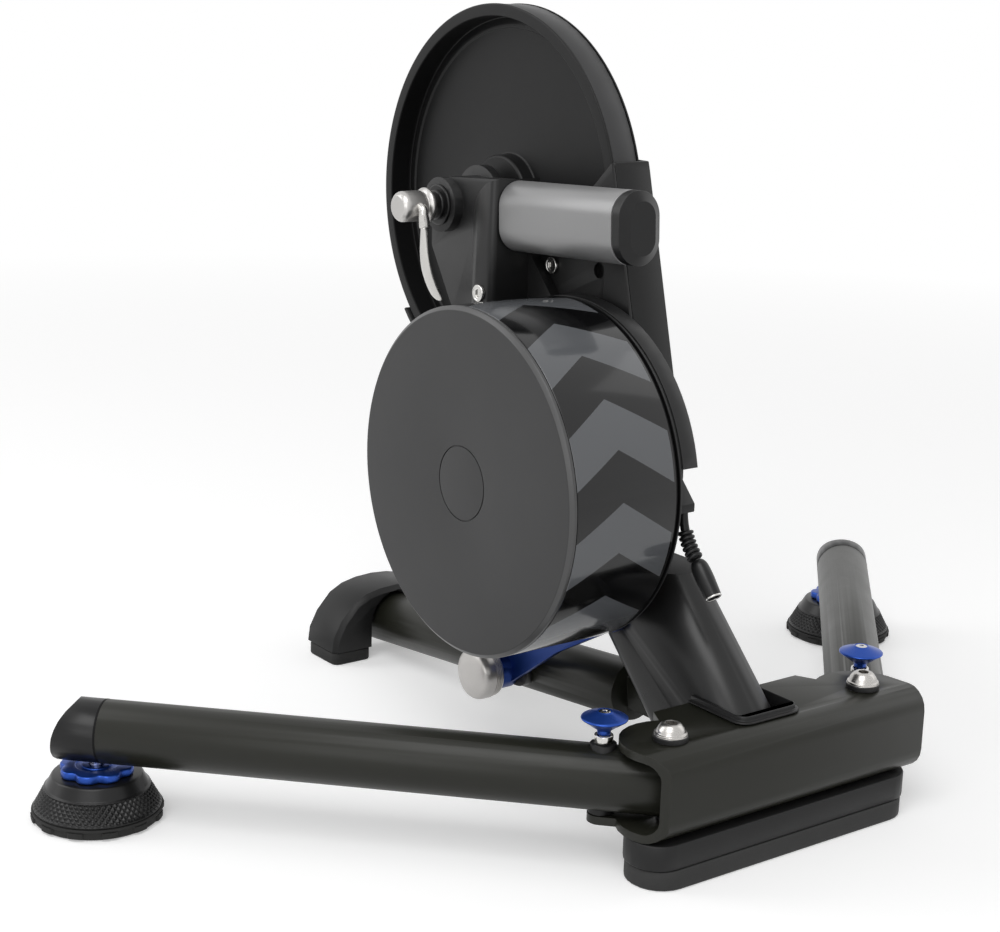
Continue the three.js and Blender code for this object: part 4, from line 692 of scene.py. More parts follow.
def swept(stations: Outline, steps: int = 32, spans: int = 5) -> Array:
    """An oval section carried along a bent centre line that never runs along X.

    Each station is x, y, z and the two half widths. The section stands square
    to the line: its first half width is along the cross product of the second
    direction and the line, its second along the cross product of the line and
    the X axis. The stations are joined by a Catmull-Rom curve.

    Args:
        stations: rows of x, y, z, first and second half width.
        steps: points round the section.
        spans: spans between two stations.

    Returns:
        The grid, sections by steps by three.
    """
    rows = np.array(stations, float)
    ends = np.vstack([2 * rows[0] - rows[1], rows, 2 * rows[-1] - rows[-2]])
    t = np.linspace(0.0, 1.0, spans, endpoint=False)[:, None]
    curve = []
    for p0, p1, p2, p3 in zip(ends, ends[1:], ends[2:], ends[3:]):
        square, cube = 2 * p0 - 5 * p1 + 4 * p2 - p3, 3 * p1 - p0 - 3 * p2 + p3
        curve.append(0.5 * (2 * p1 + (p2 - p0) * t + square * t**2 + cube * t**3))
    line = np.vstack(curve + [rows[-1:]])
    heading = np.gradient(line[:, :3], axis=0)
    heading /= np.linalg.norm(heading, axis=1, keepdims=True)
    second = np.cross(heading, (1.0, 0.0, 0.0))
    second /= np.linalg.norm(second, axis=1, keepdims=True)
    first = np.cross(second, heading)
    angle = np.linspace(0.0, TURN, steps, endpoint=False)[None, :, None]
    wide, deep = np.maximum(line[:, 3], 0.01), np.maximum(line[:, 4], 0.01)
    return (
        line[:, None, :3]
        + first[:, None] * wide[:, None, None] * np.cos(angle)
        + second[:, None] * deep[:, None, None] * np.sin(angle)
    )


def lathe(
    label: str,
    corners: Outline,
    ease: int,
    axis: Axis,
    centre: Sequence[float],
    steps: int,
    swell: Optional[Callable] = None,
    **options: "bool | float",
) -> bpy.types.Object:
    """Makes a turned piece from the corners of its profile.

    Args:
        label: the piece's name.
        corners: rows of radius, height and, where the corner is eased, how far.
        ease: spans in each ease.
        axis: the axis that it is turned round.
        centre: a point on the axis.
        steps: points round the axis.
        swell: changes the radius, as turned() says.
        options: what skin() takes.

    Returns:
        The object.
    """
    return skin(label, turned(eased(corners, ease), axis, centre, steps, swell), **options)


def carried(grid: Array, matrix: Matrix) -> Array:
    """A grid of points under a matrix."""
    turn = np.array(matrix)
    return grid @ turn[:3, :3].T + turn[:3, 3]


def along(start: Sequence[float], end: Sequence[float]) -> Matrix:
    """The matrix that takes the Z axis to the line from start to end."""
    heading = Vector(end) - Vector(start)
    return Matrix.Translation(Vector(start)) @ heading.to_track_quat("Z", "Y").to_matrix().to_4x4()


# ---------------------------------------------------------------- pieces


def show(piece: bpy.types.Object, body: str, finish: Finish, *nodes: str, slot: str = "") -> bpy.types.Object:
    """Dresses a piece, lets it ride on its body and stand for its CAD nodes.

    Args:
        piece: the object.
        body: the body that it rides on.
        finish: its finish.
        nodes: the CAD nodes that it stands for, if any.
        slot: its material slot, where that isn't the finish's own; worked out but not used.

    Returns:
        The piece.
    """
    slot = slot or finish.slot
    piece.data.materials.clear()
    piece.data.materials.append(finish.material())
    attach(piece, body)
    if nodes:
        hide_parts(*nodes)
    LOG.info("piece %s on %s, %d faces", piece.name, body, len(piece.data.polygons))
    return piece


def second_finish(piece: bpy.types.Object, finish: Finish, where: Callable[[Array], Array]) -> None:
    """Gives the faces whose centres pass a test another finish.

    Args:
        piece: the object.
        finish: the other finish.
        where: takes the face centres and returns a mask.
    """
    piece.data.materials.append(finish.material())
    centres = np.empty(len(piece.data.polygons) * 3)
    piece.data.polygons.foreach_get("center", centres)
    chosen = where(centres.reshape(-1, 3) / MM).astype(int) * (len(piece.data.materials) - 1)
    held = np.zeros(len(piece.data.polygons), int)
    piece.data.polygons.foreach_get("material_index", held)
    piece.data.polygons.foreach_set("material_index", np.where(chosen > 0, chosen, held))


def softened(node: str, body: str, finish: Finish, edge: float, angle: float = 32.0) -> bpy.types.Object:
    """A merged copy of a CAD node with rounded edges and smooth curves, which stands for it.

    Args:
        node: the CAD node.
        body: the body that it rides on.
        finish: its finish.
        edge: the radius of its rounded edges.
        angle: the angle in degrees above which an edge is rounded.

    Returns:
        The piece.
    """
    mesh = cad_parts[node].data.copy()
    piece = finish_mesh(node + "_shell", mesh, 180.0, flat=True)
    rounder = piece.modifiers.new("rounded_edges", "BEVEL")
    rounder.limit_method = "ANGLE"
    rounder.angle_limit = math.radians(angle)
    rounder.width = edge * MM
    rounder.segments = 2
    rounder.harden_normals = True
    rounder.use_clamp_overlap = True
    return show(piece, body, finish, node)


def soften_all(body: str, *rows: tuple) -> None:
    """Softens several CAD nodes that ride on one body.

    Args:
        body: the body.
        rows: what softened() takes for each: node, finish, edge and angle.
    """
    for node, *how in rows:
        softened(node, body, *how)


def hex_socket(rim: float) -> Callable:
    """A swell that turns rows whose radius is below rim into hexagons.

    A hexagon's radius at an angle is half its flats over the cosine of the
    angle from the middle of the nearest flat.

    Args:
        rim: the radius below which rows are hexagons.

    Returns:
        The swell for turned().
    """

    def swell(radius: Array, height: Array, angle: Array) -> Array:
        """Hexagon inside the rim, circle outside."""
        off = (angle + TURN / 12) % (TURN / 6) - TURN / 12
        return np.where(radius < rim, radius / np.cos(off), radius)

    return swell


@dataclass
class Stand:
    """The rear bracket with its slot bezel, plastic holder, rubber pad and fold bolts."""

    plate_top: float = 81
    collar: tuple[float, float] = (10.2, 3.5)
    head: tuple[float, float] = (9.6, 6.8)
    socket: float = 3.5
    socket_deep: float = 4.2
    low: float = 23
    shank: float = 6
    nut: tuple[float, float] = (8.4, 27.4)

    def bolts(self) -> None:
        """Fold bolts: a black collar, a domed polished head with a hexagon socket, and a nut below."""
        top = self.plate_top + self.collar[1] + self.head[1]
        rim = self.plate_top + self.collar[1]
        r = self.head[0]
        s = self.socket * math.cos(TURN / 12)
        corners = [
            (0, top - self.socket_deep - 0.8), (s, top - self.socket_deep), (s, top - 0.1), (s + 0.7, top),
            (r - 3.9, top - 0.2, 2), (r - 1.5, top - 3.4, 2.6), (r - 1.0, rim + 1.5, 0.5), (r, rim + 1.2, 0.4),
            (r, rim, 0.2), (self.collar[0] - 0.4, rim, 0.1), (self.collar[0], rim - 0.5, 0.3),
            (self.collar[0], self.plate_top + 0.3), (self.shank, self.plate_top + 0.2),
            (self.shank, self.nut[1] + 0.2),
            (*self.nut, 0.3), (self.nut[0], self.low + 0.6, 0.5), (self.nut[0] - 0.8, self.low), (0, self.low),
        ]
        for side in Side:
            place = (side.value * FOLD_BOLT[0], FOLD_BOLT[1], 0)
            label = f"{side.word}_fold_bolt_turned"
            bolt = lathe(label, corners, 5, Axis.Z, place, 72, hex_socket(s + 0.05), sharp=40)
            show(bolt, "base", BOLT_STEEL, f"{side.word}_fold_bolt")
            second_finish(bolt, CASTING, lambda c: c[:, 2] < rim - 0.02)

    def build(self) -> None:
        """Makes the stand's pieces."""
        soften_all(
            "base",
            ("rear_bracket", POWDER, 1.3), ("slot_bezel", PLASTIC, 0.9), ("pad_holder", PLASTIC, 0.8),
            ("rear_pad", PAD_RUBBER, 1.2), ("pivot_bolt", BOLT_STEEL, 0.6),
        )
        self.bolts()


@dataclass
class CentreBeam:
    """The centre tube with the front foot and the slotted rail."""

    def build(self) -> None:
        """Makes the beam's pieces."""
        soften_all(
            "base",
            ("centre_tube", POWDER, 0.8), ("front_foot", FOOT_PLASTIC, 1.6), ("front_pad_left", RUBBER, 1.0),
            ("front_pad_right", RUBBER, 1.0), ("slide_rail", CASTING, 0.6),
        )


@dataclass
class Leg:
    """One folding leg with its end cap, lock pin, knob and levelling foot."""

    side: Side
    splay: float = math.radians(45.9)
    lock_reach: float = 38
    foot_reach: float = 342
    stem: tuple[float, float] = (4, 80.8)
    knob_low: float = 84.4
    knob_rim: float = 89.9
    knob_top: float = 95.2
    knob_radius: float = 13.7
    pad_radius: float = 39.3
    pad_high: float = 7
    body_low: float = 7.3
    knurl_top: float = 21
    knurl_radius: float = 31
    cone_top: float = 28
    cone_radius: float = 27
    wheel_radius: float = 22.5
    seam: tuple[float, float] = (335.9, 337.3)
    axis_high: float = 54.5
    tube_radius: float = 19.28
    knurl_rows: int = 6
    knurl_count: int = 60
    knurl_deep: float = 1.2
    lobe_deep: float = 2.8
    lobes: int = 8
    tabs: int = 12
    tab_deep: float = 1.35

    def name(self, piece: str) -> str:
        """The CAD name of one of this side's nodes."""
        return f"{self.side.word}_{piece}"

    def at(self, reach: float) -> tuple[float, float, float]:
        """The point on the floor below the leg's axis at a reach from the fold bolt."""
        x = FOLD_BOLT[0] + reach * math.cos(self.splay)
        return (self.side.value * x, FOLD_BOLT[1] + reach * math.sin(self.splay), 0.0)

    def lock(self) -> None:
        """The lock: pin, sleeve, ferrule and a shallow cone knob with a small screw in its top."""
        place = self.at(self.lock_reach)
        body = self.name("lock")
        r, rim = self.knob_radius, self.knob_rim
        (stem, foot), low, top = self.stem, self.knob_low, self.knob_top
        corners = [
            (0, foot), (stem - 0.4, foot), (stem, foot + 0.5), (stem, low - 0.4, 1), (5.2, low, 0.5),
            (r - 0.8, rim, 0.8),
            (r, rim + 0.5, 0.3), (r, rim + 1.2, 0.4), (r - 0.8, rim + 1.75, 0.6), (5.2, top - 0.7, 0.6),
            (4.3, top - 0.15), (3.6, top - 0.5), (0, top - 0.5),
        ]
        cap = lathe(self.name("lock_knob_turned"), corners, 4, Axis.Z, place, 64, sharp=40)
        show(cap, body, BLUE, self.name("lock_knob"))
        corners = [
            (0, top - 1.2), (1.4, top - 1.1), (1.4, top - 0.1), (2.6, top, 0.6), (3.5, top - 0.45),
            (0, top - 0.52),
        ]
        screw = lathe(self.name("lock_knob_screw"), corners, 3, Axis.Z, place, 36, hex_socket(1.5))
        show(screw, body, STEEL)
        softened(self.name("lock_pin"), body, STEEL, 0.3)
        soften_all(
            self.name("leg"),
            (self.name("lock_sleeve"), PLASTIC, 0.6), (self.name("lock_ferrule"), STEEL, 0.5),
        )

    def pad(self) -> None:
        """The foot's rubber: a disc with a stepped rim and shallow tabs round it."""
        place = self.at(self.foot_reach)
        r = self.pad_radius
        corners = [
            (0, 0.6), (r - 9, 0.6), (r - 8.5, 0, 0.3), (r - 2.4, 0, 0.8), (r - 0.9, 1.6, 0.8),
            (r - 0.9, 5.0, 0.3), (r, 5.4, 0.3), (r, self.pad_high - 0.1, 0.5), (r - 2, self.pad_high),
            (0, self.pad_high),
        ]

        def tabs(radius: Array, height: Array, angle: Array) -> Array:
            """Adds the tabs' thickness where the angle is within a tab and the row is on the rim's wall."""
            near = abs((angle * self.tabs / TURN) % 1.0 - 0.5) * 2.0
            wall = (height > 1.3) & (height < 5.1) & (radius > r - 1.6)
            return radius + np.where(wall, self.tab_deep * np.clip((0.46 - near) / 0.05, 0, 1), 0.0)

        disc = lathe(self.name("foot_rubber"), corners, 3, Axis.Z, place, 288, tabs)
        show(disc, self.name("foot"), RUBBER, self.name("foot_pad"))

    def base(self) -> None:
        """The foot's body: a knurled cone under a plain cone.

        The knurl's depth is the larger of two ridged waves that run round the
        foot and climb in opposite ways, which leaves raised diamonds.
        """
        place = self.at(self.foot_reach)
        low, high = self.body_low + 1.0, self.knurl_top - 0.8
        outer = self.pad_radius - 0.7
        wall_low, wall_high = outer - 0.4, self.knurl_radius + 0.8
        heights = np.linspace(low, high, self.knurl_rows * 8 + 1)
        radii = np.interp(heights, [low, high], [wall_low, wall_high])
        profile = np.concatenate(
            [
                [[0, self.body_low], [outer - 1.2, self.body_low], [outer - 0.4, self.body_low + 0.4]],
                np.stack([radii, heights], -1),
                eased(
                    [
                        (wall_high - 0.2, high + 0.2), (self.knurl_radius - 0.4, self.knurl_top, 0.4),
                        (self.cone_radius, self.cone_top - 0.5, 0.8), (self.cone_radius - 1.0, self.cone_top),
                        (5.2, self.cone_top), (0, self.cone_top - 0.3),
                    ],
                    3,
                ),
            ]
        )

        def knurl(radius: Array, height: Array, angle: Array) -> Array:
            """Cuts two crossing sets of grooves into the conical wall."""
            rise = (height - low) / (high - low)
            climb = rise * self.knurl_rows
            turns = angle * self.knurl_count / TURN
            first = abs((turns + climb / 2) % 1.0 - 0.5) * 2.0
            second = abs((turns - climb / 2) % 1.0 - 0.5) * 2.0
            groove = np.maximum(first, second)
            deep = np.clip((groove - 0.12) / 0.88, 0, 1) * self.knurl_deep
            fade = np.clip(np.minimum(rise, 1 - rise) * 14, 0, 1)
            on_wall = (rise >= 0) & (rise <= 1) & (radius > self.knurl_radius - 2)
            return radius - np.where(on_wall, deep * fade, 0.0)

        grid = turned(profile, Axis.Z, place, self.knurl_count * 8, knurl)
        body = skin(self.name("foot_knurled"), grid, sharp=50)
        show(body, self.name("foot"), CAP_PLASTIC, self.name("foot_body"))

    def wheel(self) -> None:
        """The blue levelling wheel: a disc whose rim dips eight times, with a ring groove in its top."""
        place = self.at(self.foot_reach)
        low, high = self.cone_top + 0.3, self.cone_top + 5.3
        r = self.wheel_radius
        corners = [
            (4.9, low), (r - 0.8, low, 0.6), (r, low + 0.8, 0.6), (r, high - 0.8, 0.6), (r - 0.8, high, 0.6),
            (13, high, 0.4), (12.4, high - 0.8, 0.3), (9.2, high - 0.8, 0.3), (8.8, high, 0.3), (4.9, high),
        ]

        def lobes(radius: Array, height: Array, angle: Array) -> Array:
            """Dips the outer rows round the rim."""
            dip = self.lobe_deep * (0.5 - 0.5 * np.cos(self.lobes * angle)) ** 2
            return radius - dip * np.clip((radius - 14) / 5, 0, 1)

        disc = lathe(self.name("foot_wheel_lobed"), corners, 3, Axis.Z, place, 192, lobes, wrap_rows=True)
        show(disc, self.name("foot"), BLUE, self.name("foot_wheel"))

    def seal(self) -> None:
        """The black seal in the seam between the leg's tube and its end cap."""
        low, high = (Vector(self.at(reach)) + Vector((0, 0, self.axis_high)) for reach in self.seam)
        r = self.tube_radius
        length = (high - low).length
        corners = [(r - 2, 0), (r, 0, 0.2), (r, length, 0.2), (r - 2, length)]
        grid = carried(turned(eased(corners, 3), Axis.Z, (0, 0, 0), 96), along(low, high))
        show(skin(self.name("leg_seal"), grid, wrap_rows=True), self.name("leg"), SHADE_AND_SEAM_BLACK)

    def build(self) -> None:
        """Makes the leg's pieces."""
        self.seal()
        soften_all(
            self.name("leg"),
            (self.name("leg_tube"), POWDER, 0.8), (self.name("leg_cap"), CAP_PLASTIC, 1.4),
        )
        softened(self.name("foot_screw"), self.name("foot"), STEEL, 0.4)
        self.lock()
        self.pad()
        self.base()
        self.wheel()


@dataclass
class Mast:
    """The leaning mast, the body casting on it, its guard and screws, and the power socket with its lead."""

    lead_x: float = -32.5
    tube_top: float = 150
    lead_points: tuple = ((-152.2, 199.5), (-152.6, 182.0), (-165.5, 171.0), (-182.5, 152.0))
    lead_radius: float = 2.7
    nozzle: float = 0.42
    ribs: int = 6
    rib_share: float = 0.86
    rib_base: float = 0.7
    rib_high: float = 1.4
    plug_radius: float = 5.2
    upper_screw: tuple[float, float] = (16.4, 303.1)
    lower_screw: tuple[float, float] = (-10.5, 322.0)
    screw_radius: float = 5.5

    def lead(self) -> None:
        """The ribbed strain relief and the smooth connector with its open metal ring.

        The relief hangs down from the socket and bends to the connector on a
        quadratic curve. It starts with a smooth nozzle. Past it, its radius is
        the lead's radius, raised to a round rib over most of each pitch.
        """
        start, turn, bend, end = [Vector((self.lead_x, y, z)) for y, z in self.lead_points]
        s = np.linspace(0, 1, 180)[:, None]
        line = (1 - s) ** 2 * np.array(start) + 2 * s * (1 - s) * np.array(turn) + s**2 * np.array(bend)
        past = (s[:, 0] - self.nozzle) / (1.0 - self.nozzle)
        wave = (past * self.ribs) % 1.0
        round_top = np.sqrt(np.clip(1 - (2 * wave / self.rib_share - 1) ** 2, 0, 1))
        rib = np.where(wave < self.rib_share, round_top, 0.0)
        radii = self.lead_radius + np.where(past >= 0, self.rib_base + self.rib_high * rib, 0.0)
        radii[-1] = self.lead_radius
        grid = swept(np.column_stack([line, radii, radii]), 36, 1)
        relief = skin("lead_relief_ribbed", grid, caps=True, sharp=50)
        show(relief, "mast", CAP_PLASTIC, "lead_relief")
        first = bend.lerp(end, 0.04)
        length = (end - first).length
        r = self.plug_radius
        corners = [
            (0, 0), (3.6, 0, 0.5), (r, 2.6, 2.0), (r + 0.5, 0.4 * length, 4), (r - 0.2, length - 1.0),
            (r - 0.2, length - 0.3, 0.2), (r - 0.5, length, 0.2), (r - 1.4, length - 0.1, 0.2),
            (r - 1.6, length - 3), (0, length - 3),
        ]
        grid = carried(turned(eased(corners, 3), Axis.Z, (0, 0, 0), 40), along(first, end))
        plug = skin("lead_connector_turned", grid)
        show(plug, "mast", CAP_PLASTIC, "lead_connector")
        heading = (end - first).normalized()
        rim = np.array(end - heading * 0.9)
        second_finish(plug, STEEL, lambda c: (c - rim) @ np.array(heading) > 0)

    def screws(self) -> None:
        """Countersunk screws in the neck: a dished polished head with a hexagon socket."""
        for name, (y, z) in (("neck_screw_upper", self.upper_screw), ("neck_screw_lower", self.lower_screw)):
            left, right = (corner.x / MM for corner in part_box(name))
            r, s = self.screw_radius, 2.4
            corners = [
                (0, left + 1.5), (s, left + 1.4), (s, left + 0.5), (s + 0.6, left + 0.3),
                (r - 1.4, left + 0.3, 0.3), (r - 1.0, left, 0.2), (r - 0.3, left, 0.3),
                (r, left + 0.5, 0.2), (r, right), (0, right),
            ]
            screw = lathe(name + "_turned", corners, 3, Axis.X, (0, y, z), 48, hex_socket(s + 0.05))
            show(screw, "mast", STEEL, name)

    def build(self) -> None:
        """Makes the mast's pieces."""
        tube = softened("mast_tube", "mast", MAST_PAINT, 0.8)
        # Painted shade: the tube's top end, above tube_top, is near black.
        second_finish(tube, SHADE_AND_SEAM_BLACK, lambda p: p[:, 2] > self.tube_top - 0.3)
        soften_all(
            "mast",
            ("frame_casting", CASTING, 2.0), ("belt_guard", PLASTIC, 0.7), ("belt_backplate", PLASTIC, 0.4),
            ("power_socket", PLASTIC, 0.6), ("strut_screw", STEEL, 0.5),
        )
        self.lead()
        self.screws()


@dataclass
class Handle:
    """The carry handle: a grey oblong bar with a black bevelled cap."""

    x: float = -41.5
    wide: float = 31
    high: float = 44
    root: tuple[float, float] = (5.7, 352)
    length: float = 110
    cap_length: float = 11
    tilt: float = math.radians(3.2)

    def build(self) -> None:
        """Makes the grip and its cap, which ride on the mast."""
        section = oblong(self.wide, self.high, self.wide / 2, 14)
        section = section[np.linalg.norm(section - np.roll(section, 1, 0), axis=1) > 1e-3]
        place = Matrix.Translation((self.x, self.root[0], self.root[1])) @ Matrix.Rotation(-self.tilt, 4, "X")
        grid = carried(bar(section, Axis.Y, -self.length, -1.4, 0.35), place)
        grip = skin("carry_grip", grid, caps=True)
        show(grip, "mast", GRIP, "carry_handle")
        start = -self.length - 0.3
        rings = [(start, 1.2), (start - 0.8, 1.2), (start - 0.8, 0.2), (start - 1.0, 0.0)]
        rings += [(start - 7.0, 0.0), (start - 7.2, 0.15)]
        rings += [(-self.length - self.cap_length + 0.2, 5.8), (-self.length - self.cap_length, 6.1)]
        grid = np.stack([np.insert(inset(section, depth), 1, y, axis=1) for y, depth in rings])
        cap = skin("carry_grip_cap", carried(grid, place), caps=True, sharp=22)
        show(cap, "mast", CAP_PLASTIC, "handle_cap")


@dataclass
class Brake:
    """The flywheel with its flat cover, the brake housing behind it and the coils inside."""

    radius: float = 105.7
    cover_left: float = -125.5
    cover_thick: float = 4
    chamfer: float = 2.6
    cap_radius: float = 23
    groove: float = 0.8
    rim_right: float = -46.8
    rim_thick: float = 19
    web: float = 5
    shaft: float = 8.5
    shaft_right: float = 2.6
    ring: tuple[float, float] = (-45.4, -44.2)
    ring_deep: float = 7
    steps: int = 256

    def cover(self) -> None:
        """The flat cover: a disc with a fine circular groove and a lighter bevelled rim."""
        left, right = self.cover_left, self.cover_left + self.cover_thick
        r, c = self.radius, self.cap_radius
        corners = [
            (0, left), (c - self.groove, left, 0.15), (c - self.groove, left + 0.7), (c, left + 0.7),
            (c, left, 0.15), (r - self.chamfer, left, 0.3), (r, left + self.chamfer * 0.8, 0.4),
            (r, right - 0.2), (r - 0.3, right), (0, right),
        ]
        disc = lathe("flywheel_cover_turned", corners, 4, Axis.X, WHEEL_AXIS, self.steps, sharp=50)
        show(disc, "wheel", COVER, "flywheel_cover")
        axis = np.array(WHEEL_AXIS)[1:]
        limit = self.radius - self.chamfer * 0.93
        second_finish(disc, COVER_EDGE, lambda p: np.linalg.norm(p[:, 1:] - axis, axis=1) > limit)

    def wheel(self) -> None:
        """The flywheel: a hollow drum on a shaft, its rim in gloss chevrons and its back in painted shade."""
        left, right, r = self.cover_left + self.cover_thick + 0.3, self.rim_right, self.radius
        inner = r - self.rim_thick
        corners = [
            (0, left), (r - 0.6, left), (r, left + 0.5, 0.3), (r, right - 1.9, 0.2), (r - 0.9, right - 1.8),
            (r - 0.9, right - 0.4, 0.2), (r - 1.2, right, 0.2), (inner + 1, right, 0.5),
            (inner, right - 1, 0.5), (inner, left + self.web, 2), (2 * self.shaft, left + self.web, 2),
            (2 * self.shaft, left + 3 * self.web, 1), (self.shaft, left + 3 * self.web, 0.5),
            (self.shaft, self.shaft_right - 0.8, 0.5), (self.shaft - 0.8, self.shaft_right),
            (0, self.shaft_right),
        ]
        drum = lathe("flywheel_drum", corners, 4, Axis.X, WHEEL_AXIS, self.steps, sharp=50)
        show(drum, "wheel", RIM, "flywheel")
        # Painted shade: the rim's back step, the drum's back face and the shaft behind it are near black.
        second_finish(drum, SHADE_AND_SEAM_BLACK, lambda p: p[:, 0] > right - 1.86)

    def back_ring(self) -> None:
        """The thin rim behind the flywheel, with painted shade on the side that faces it."""
        left, right = self.ring
        r = self.radius - 0.2
        inner = r - self.ring_deep
        corners = [
            (inner, left), (r - 0.3, left), (r, left + 0.3, 0.2), (r, right - 0.2, 0.2), (r - 0.2, right),
            (inner, right),
        ]
        ring = lathe("brake_back_rim", corners, 3, Axis.X, WHEEL_AXIS, self.steps, wrap_rows=True)
        show(ring, "mast", CASTING)
        # Painted shade on the rim's face toward the flywheel.
        second_finish(ring, SHADE_AND_SEAM_BLACK, lambda p: p[:, 0] < left + 0.1)

    def build(self) -> None:
        """Makes the flywheel, housing and coils."""
        self.cover()
        self.wheel()
        self.back_ring()
        softened("small_pulley", "wheel", CASTING, 0.4)
        housing = softened("brake_housing", "mast", CASTING, 0.6)
        # Painted shade on the housing's part in front of the back rim, toward the flywheel.
        second_finish(housing, SHADE_AND_SEAM_BLACK, lambda p: p[:, 0] < self.ring[0] - 0.2)
        softened("brake_coils", "mast", COPPER, 0.8)


@dataclass
class Drive:
    """The large drive pulley and the belt."""

    left: float = -20
    right: float = 2
    radius: float = 126.2
    rim: float = 8
    web_left: float = -4.5
    web: float = 3
    bead: float = 111
    boss: float = 30
    boss_left: float = -15
    bore: float = 7.8
    flange: float = 1.6
    belt_thick: float = 2.6
    sink: float = 0.6
    steps: int = 320

    def pulley(self) -> None:
        """The pulley: a dish with a flat rim, a recessed face with a fine bead, and a boss; the dish's inner
        wall is painted shade.
        """
        left, right, r = self.left, self.right, self.radius
        seat = r - self.belt_thick - self.sink
        inner, web = r - self.rim, self.web_left
        corners = [
            (self.bore, self.boss_left), (self.boss - 1.2, self.boss_left, 0.8),
            (self.boss, self.boss_left + 1.2, 0.8), (self.boss, web, 1.6), (self.bead - 0.6, web, 0.4),
            (self.bead + 0.2, web - 1.0, 0.5), (self.bead + 2.0, web - 1.0, 0.5), (inner - 0.5, web, 0.5),
            (inner, web - 1.2, 0.8), (inner, left + 0.6, 0.4), (inner + 0.6, left, 0.4), (r - 0.7, left, 0.5),
            (r, left + 0.5, 0.3), (r, left + self.flange), (seat, left + self.flange),
            (seat, right - self.flange), (r, right - self.flange), (r, right - 0.5, 0.3), (r - 0.5, right, 0.3),
            (inner, right, 0.5), (inner, web + self.web, 2), (self.boss, web + self.web, 2),
            (self.boss, right, 0.5), (self.bore, right),
        ]
        dish = lathe("drive_pulley_dish", corners, 4, Axis.X, HUB_AXIS, self.steps, wrap_rows=True, sharp=50)
        show(dish, "pulley", PULLEY, "drive_pulley")
        axis = np.array(HUB_AXIS)[1:]
        # Painted shade on the dish's deep inner wall.
        second_finish(
            dish,
            SHADE_AND_SEAM_BLACK,
            lambda p: (abs(np.linalg.norm(p[:, 1:] - axis, axis=1) - inner) < 0.4) & (p[:, 0] < web),
        )

    def build(self) -> None:
        """Makes the pulley and dresses the belt."""
        self.pulley()
        softened("drive_belt", "mast", BELT_RUBBER, 0.5)


@dataclass
class Hub:
    """The hub axle, freehub, sprockets and quick release."""

    bore: float = 3
    end: float = 66
    cap: float = 13
    step: float = 9.5
    axle: float = 7.5
    seat_left: float = -61.9
    seat_right: float = 58.3
    head_left: float = -94
    head_right: float = -71
    head: float = 9.8
    flange: float = 11.4
    lever_stations: tuple = (
        (-82.4, 59.0, 353.9, 3.0, 3.0), (-82.4, 53.4, 353.9, 3.0, 3.0), (-82.6, 50.4, 352.8, 3.1, 3.1),
        (-82.9, 49.4, 350.0, 3.2, 3.2), (-82.0, 49.4, 346.0, 3.4, 3.4), (-81.6, 49.4, 341.9, 3.4, 3.4),
        (-81.5, 49.4, 341.3, 2.5, 2.9), (-81.0, 50.2, 336.0, 2.2, 3.3), (-79.6, 51.8, 325.0, 1.9, 4.6),
        (-76.8, 53.0, 314.0, 1.8, 5.7), (-72.6, 53.7, 304.5, 1.8, 6.3), (-69.2, 54.1, 298.5, 1.8, 6.2),
        (-67.2, 54.2, 295.3, 1.6, 5.2), (-66.2, 54.3, 293.6, 1.0, 3.2), (-66.0, 54.3, 293.2, 0.2, 0.6),
    )

    def shaft(self) -> None:
        """The axle with its stepped end caps."""
        end, step, cap = self.end, self.step, self.cap
        outer = [(self.bore, end), (step - 0.8, end, 0.5), (step, end - 0.8, 0.5), (step, end - 2.4)]
        outer += [(cap - 0.8, end - 2.4, 0.5), (cap, end - 3.0, 0.5)]
        corners = [(radius, -x, *ease) for radius, x, *ease in outer]
        corners += [(cap, self.seat_left), (self.axle, self.seat_left)]
        corners += [(self.axle, self.seat_right), (cap, self.seat_right), *outer[::-1]]
        shaft = lathe("hub_axle_turned", corners, 3, Axis.X, HUB_AXIS, 96, wrap_rows=True)
        show(shaft, "mast", CAP_PLASTIC, "hub_axle", slot="black_casting")

    def quick_release(self) -> None:
        """The quick release: a round head with a groove and a collar, and a bent rod with a flat end."""
        left, right, r = self.head_left, self.head_right, self.head
        corners = [
            (0, left), (r - 2.6, left, 0.6), (r, left + 2.4, 2.6), (r, right - 6.4, 0.4),
            (r - 0.9, right - 5.8, 0.3), (r - 0.9, right - 4.4, 0.3), (r, right - 3.8, 0.3),
            (self.flange, right - 2.4, 0.6), (self.flange, right - 0.6, 0.4), (self.flange - 0.6, right),
            (0, right),
        ]
        head = lathe("quick_release_head", corners, 4, Axis.X, HUB_AXIS, 96, sharp=46)
        show(head, "skewer", HEAD_STEEL, "skewer_head")
        grid = swept(self.lever_stations)
        lever = skin("quick_release_lever", grid, caps=True, sharp=50)
        show(lever, "lever", LEVER_STEEL, "skewer_lever")

    def build(self) -> None:
        """Makes the hub's pieces."""
        self.shaft()
        self.quick_release()
        softened("skewer_rod", "skewer", STEEL, 0.2)
        softened("skewer_nut", "axle_nut", HEAD_STEEL, 0.8)
        soften_all(
            "freehub",
            ("freehub_body", SATIN_STEEL, 0.5), ("cassette", SPROCKETS, 0.15, 50.0),
        )


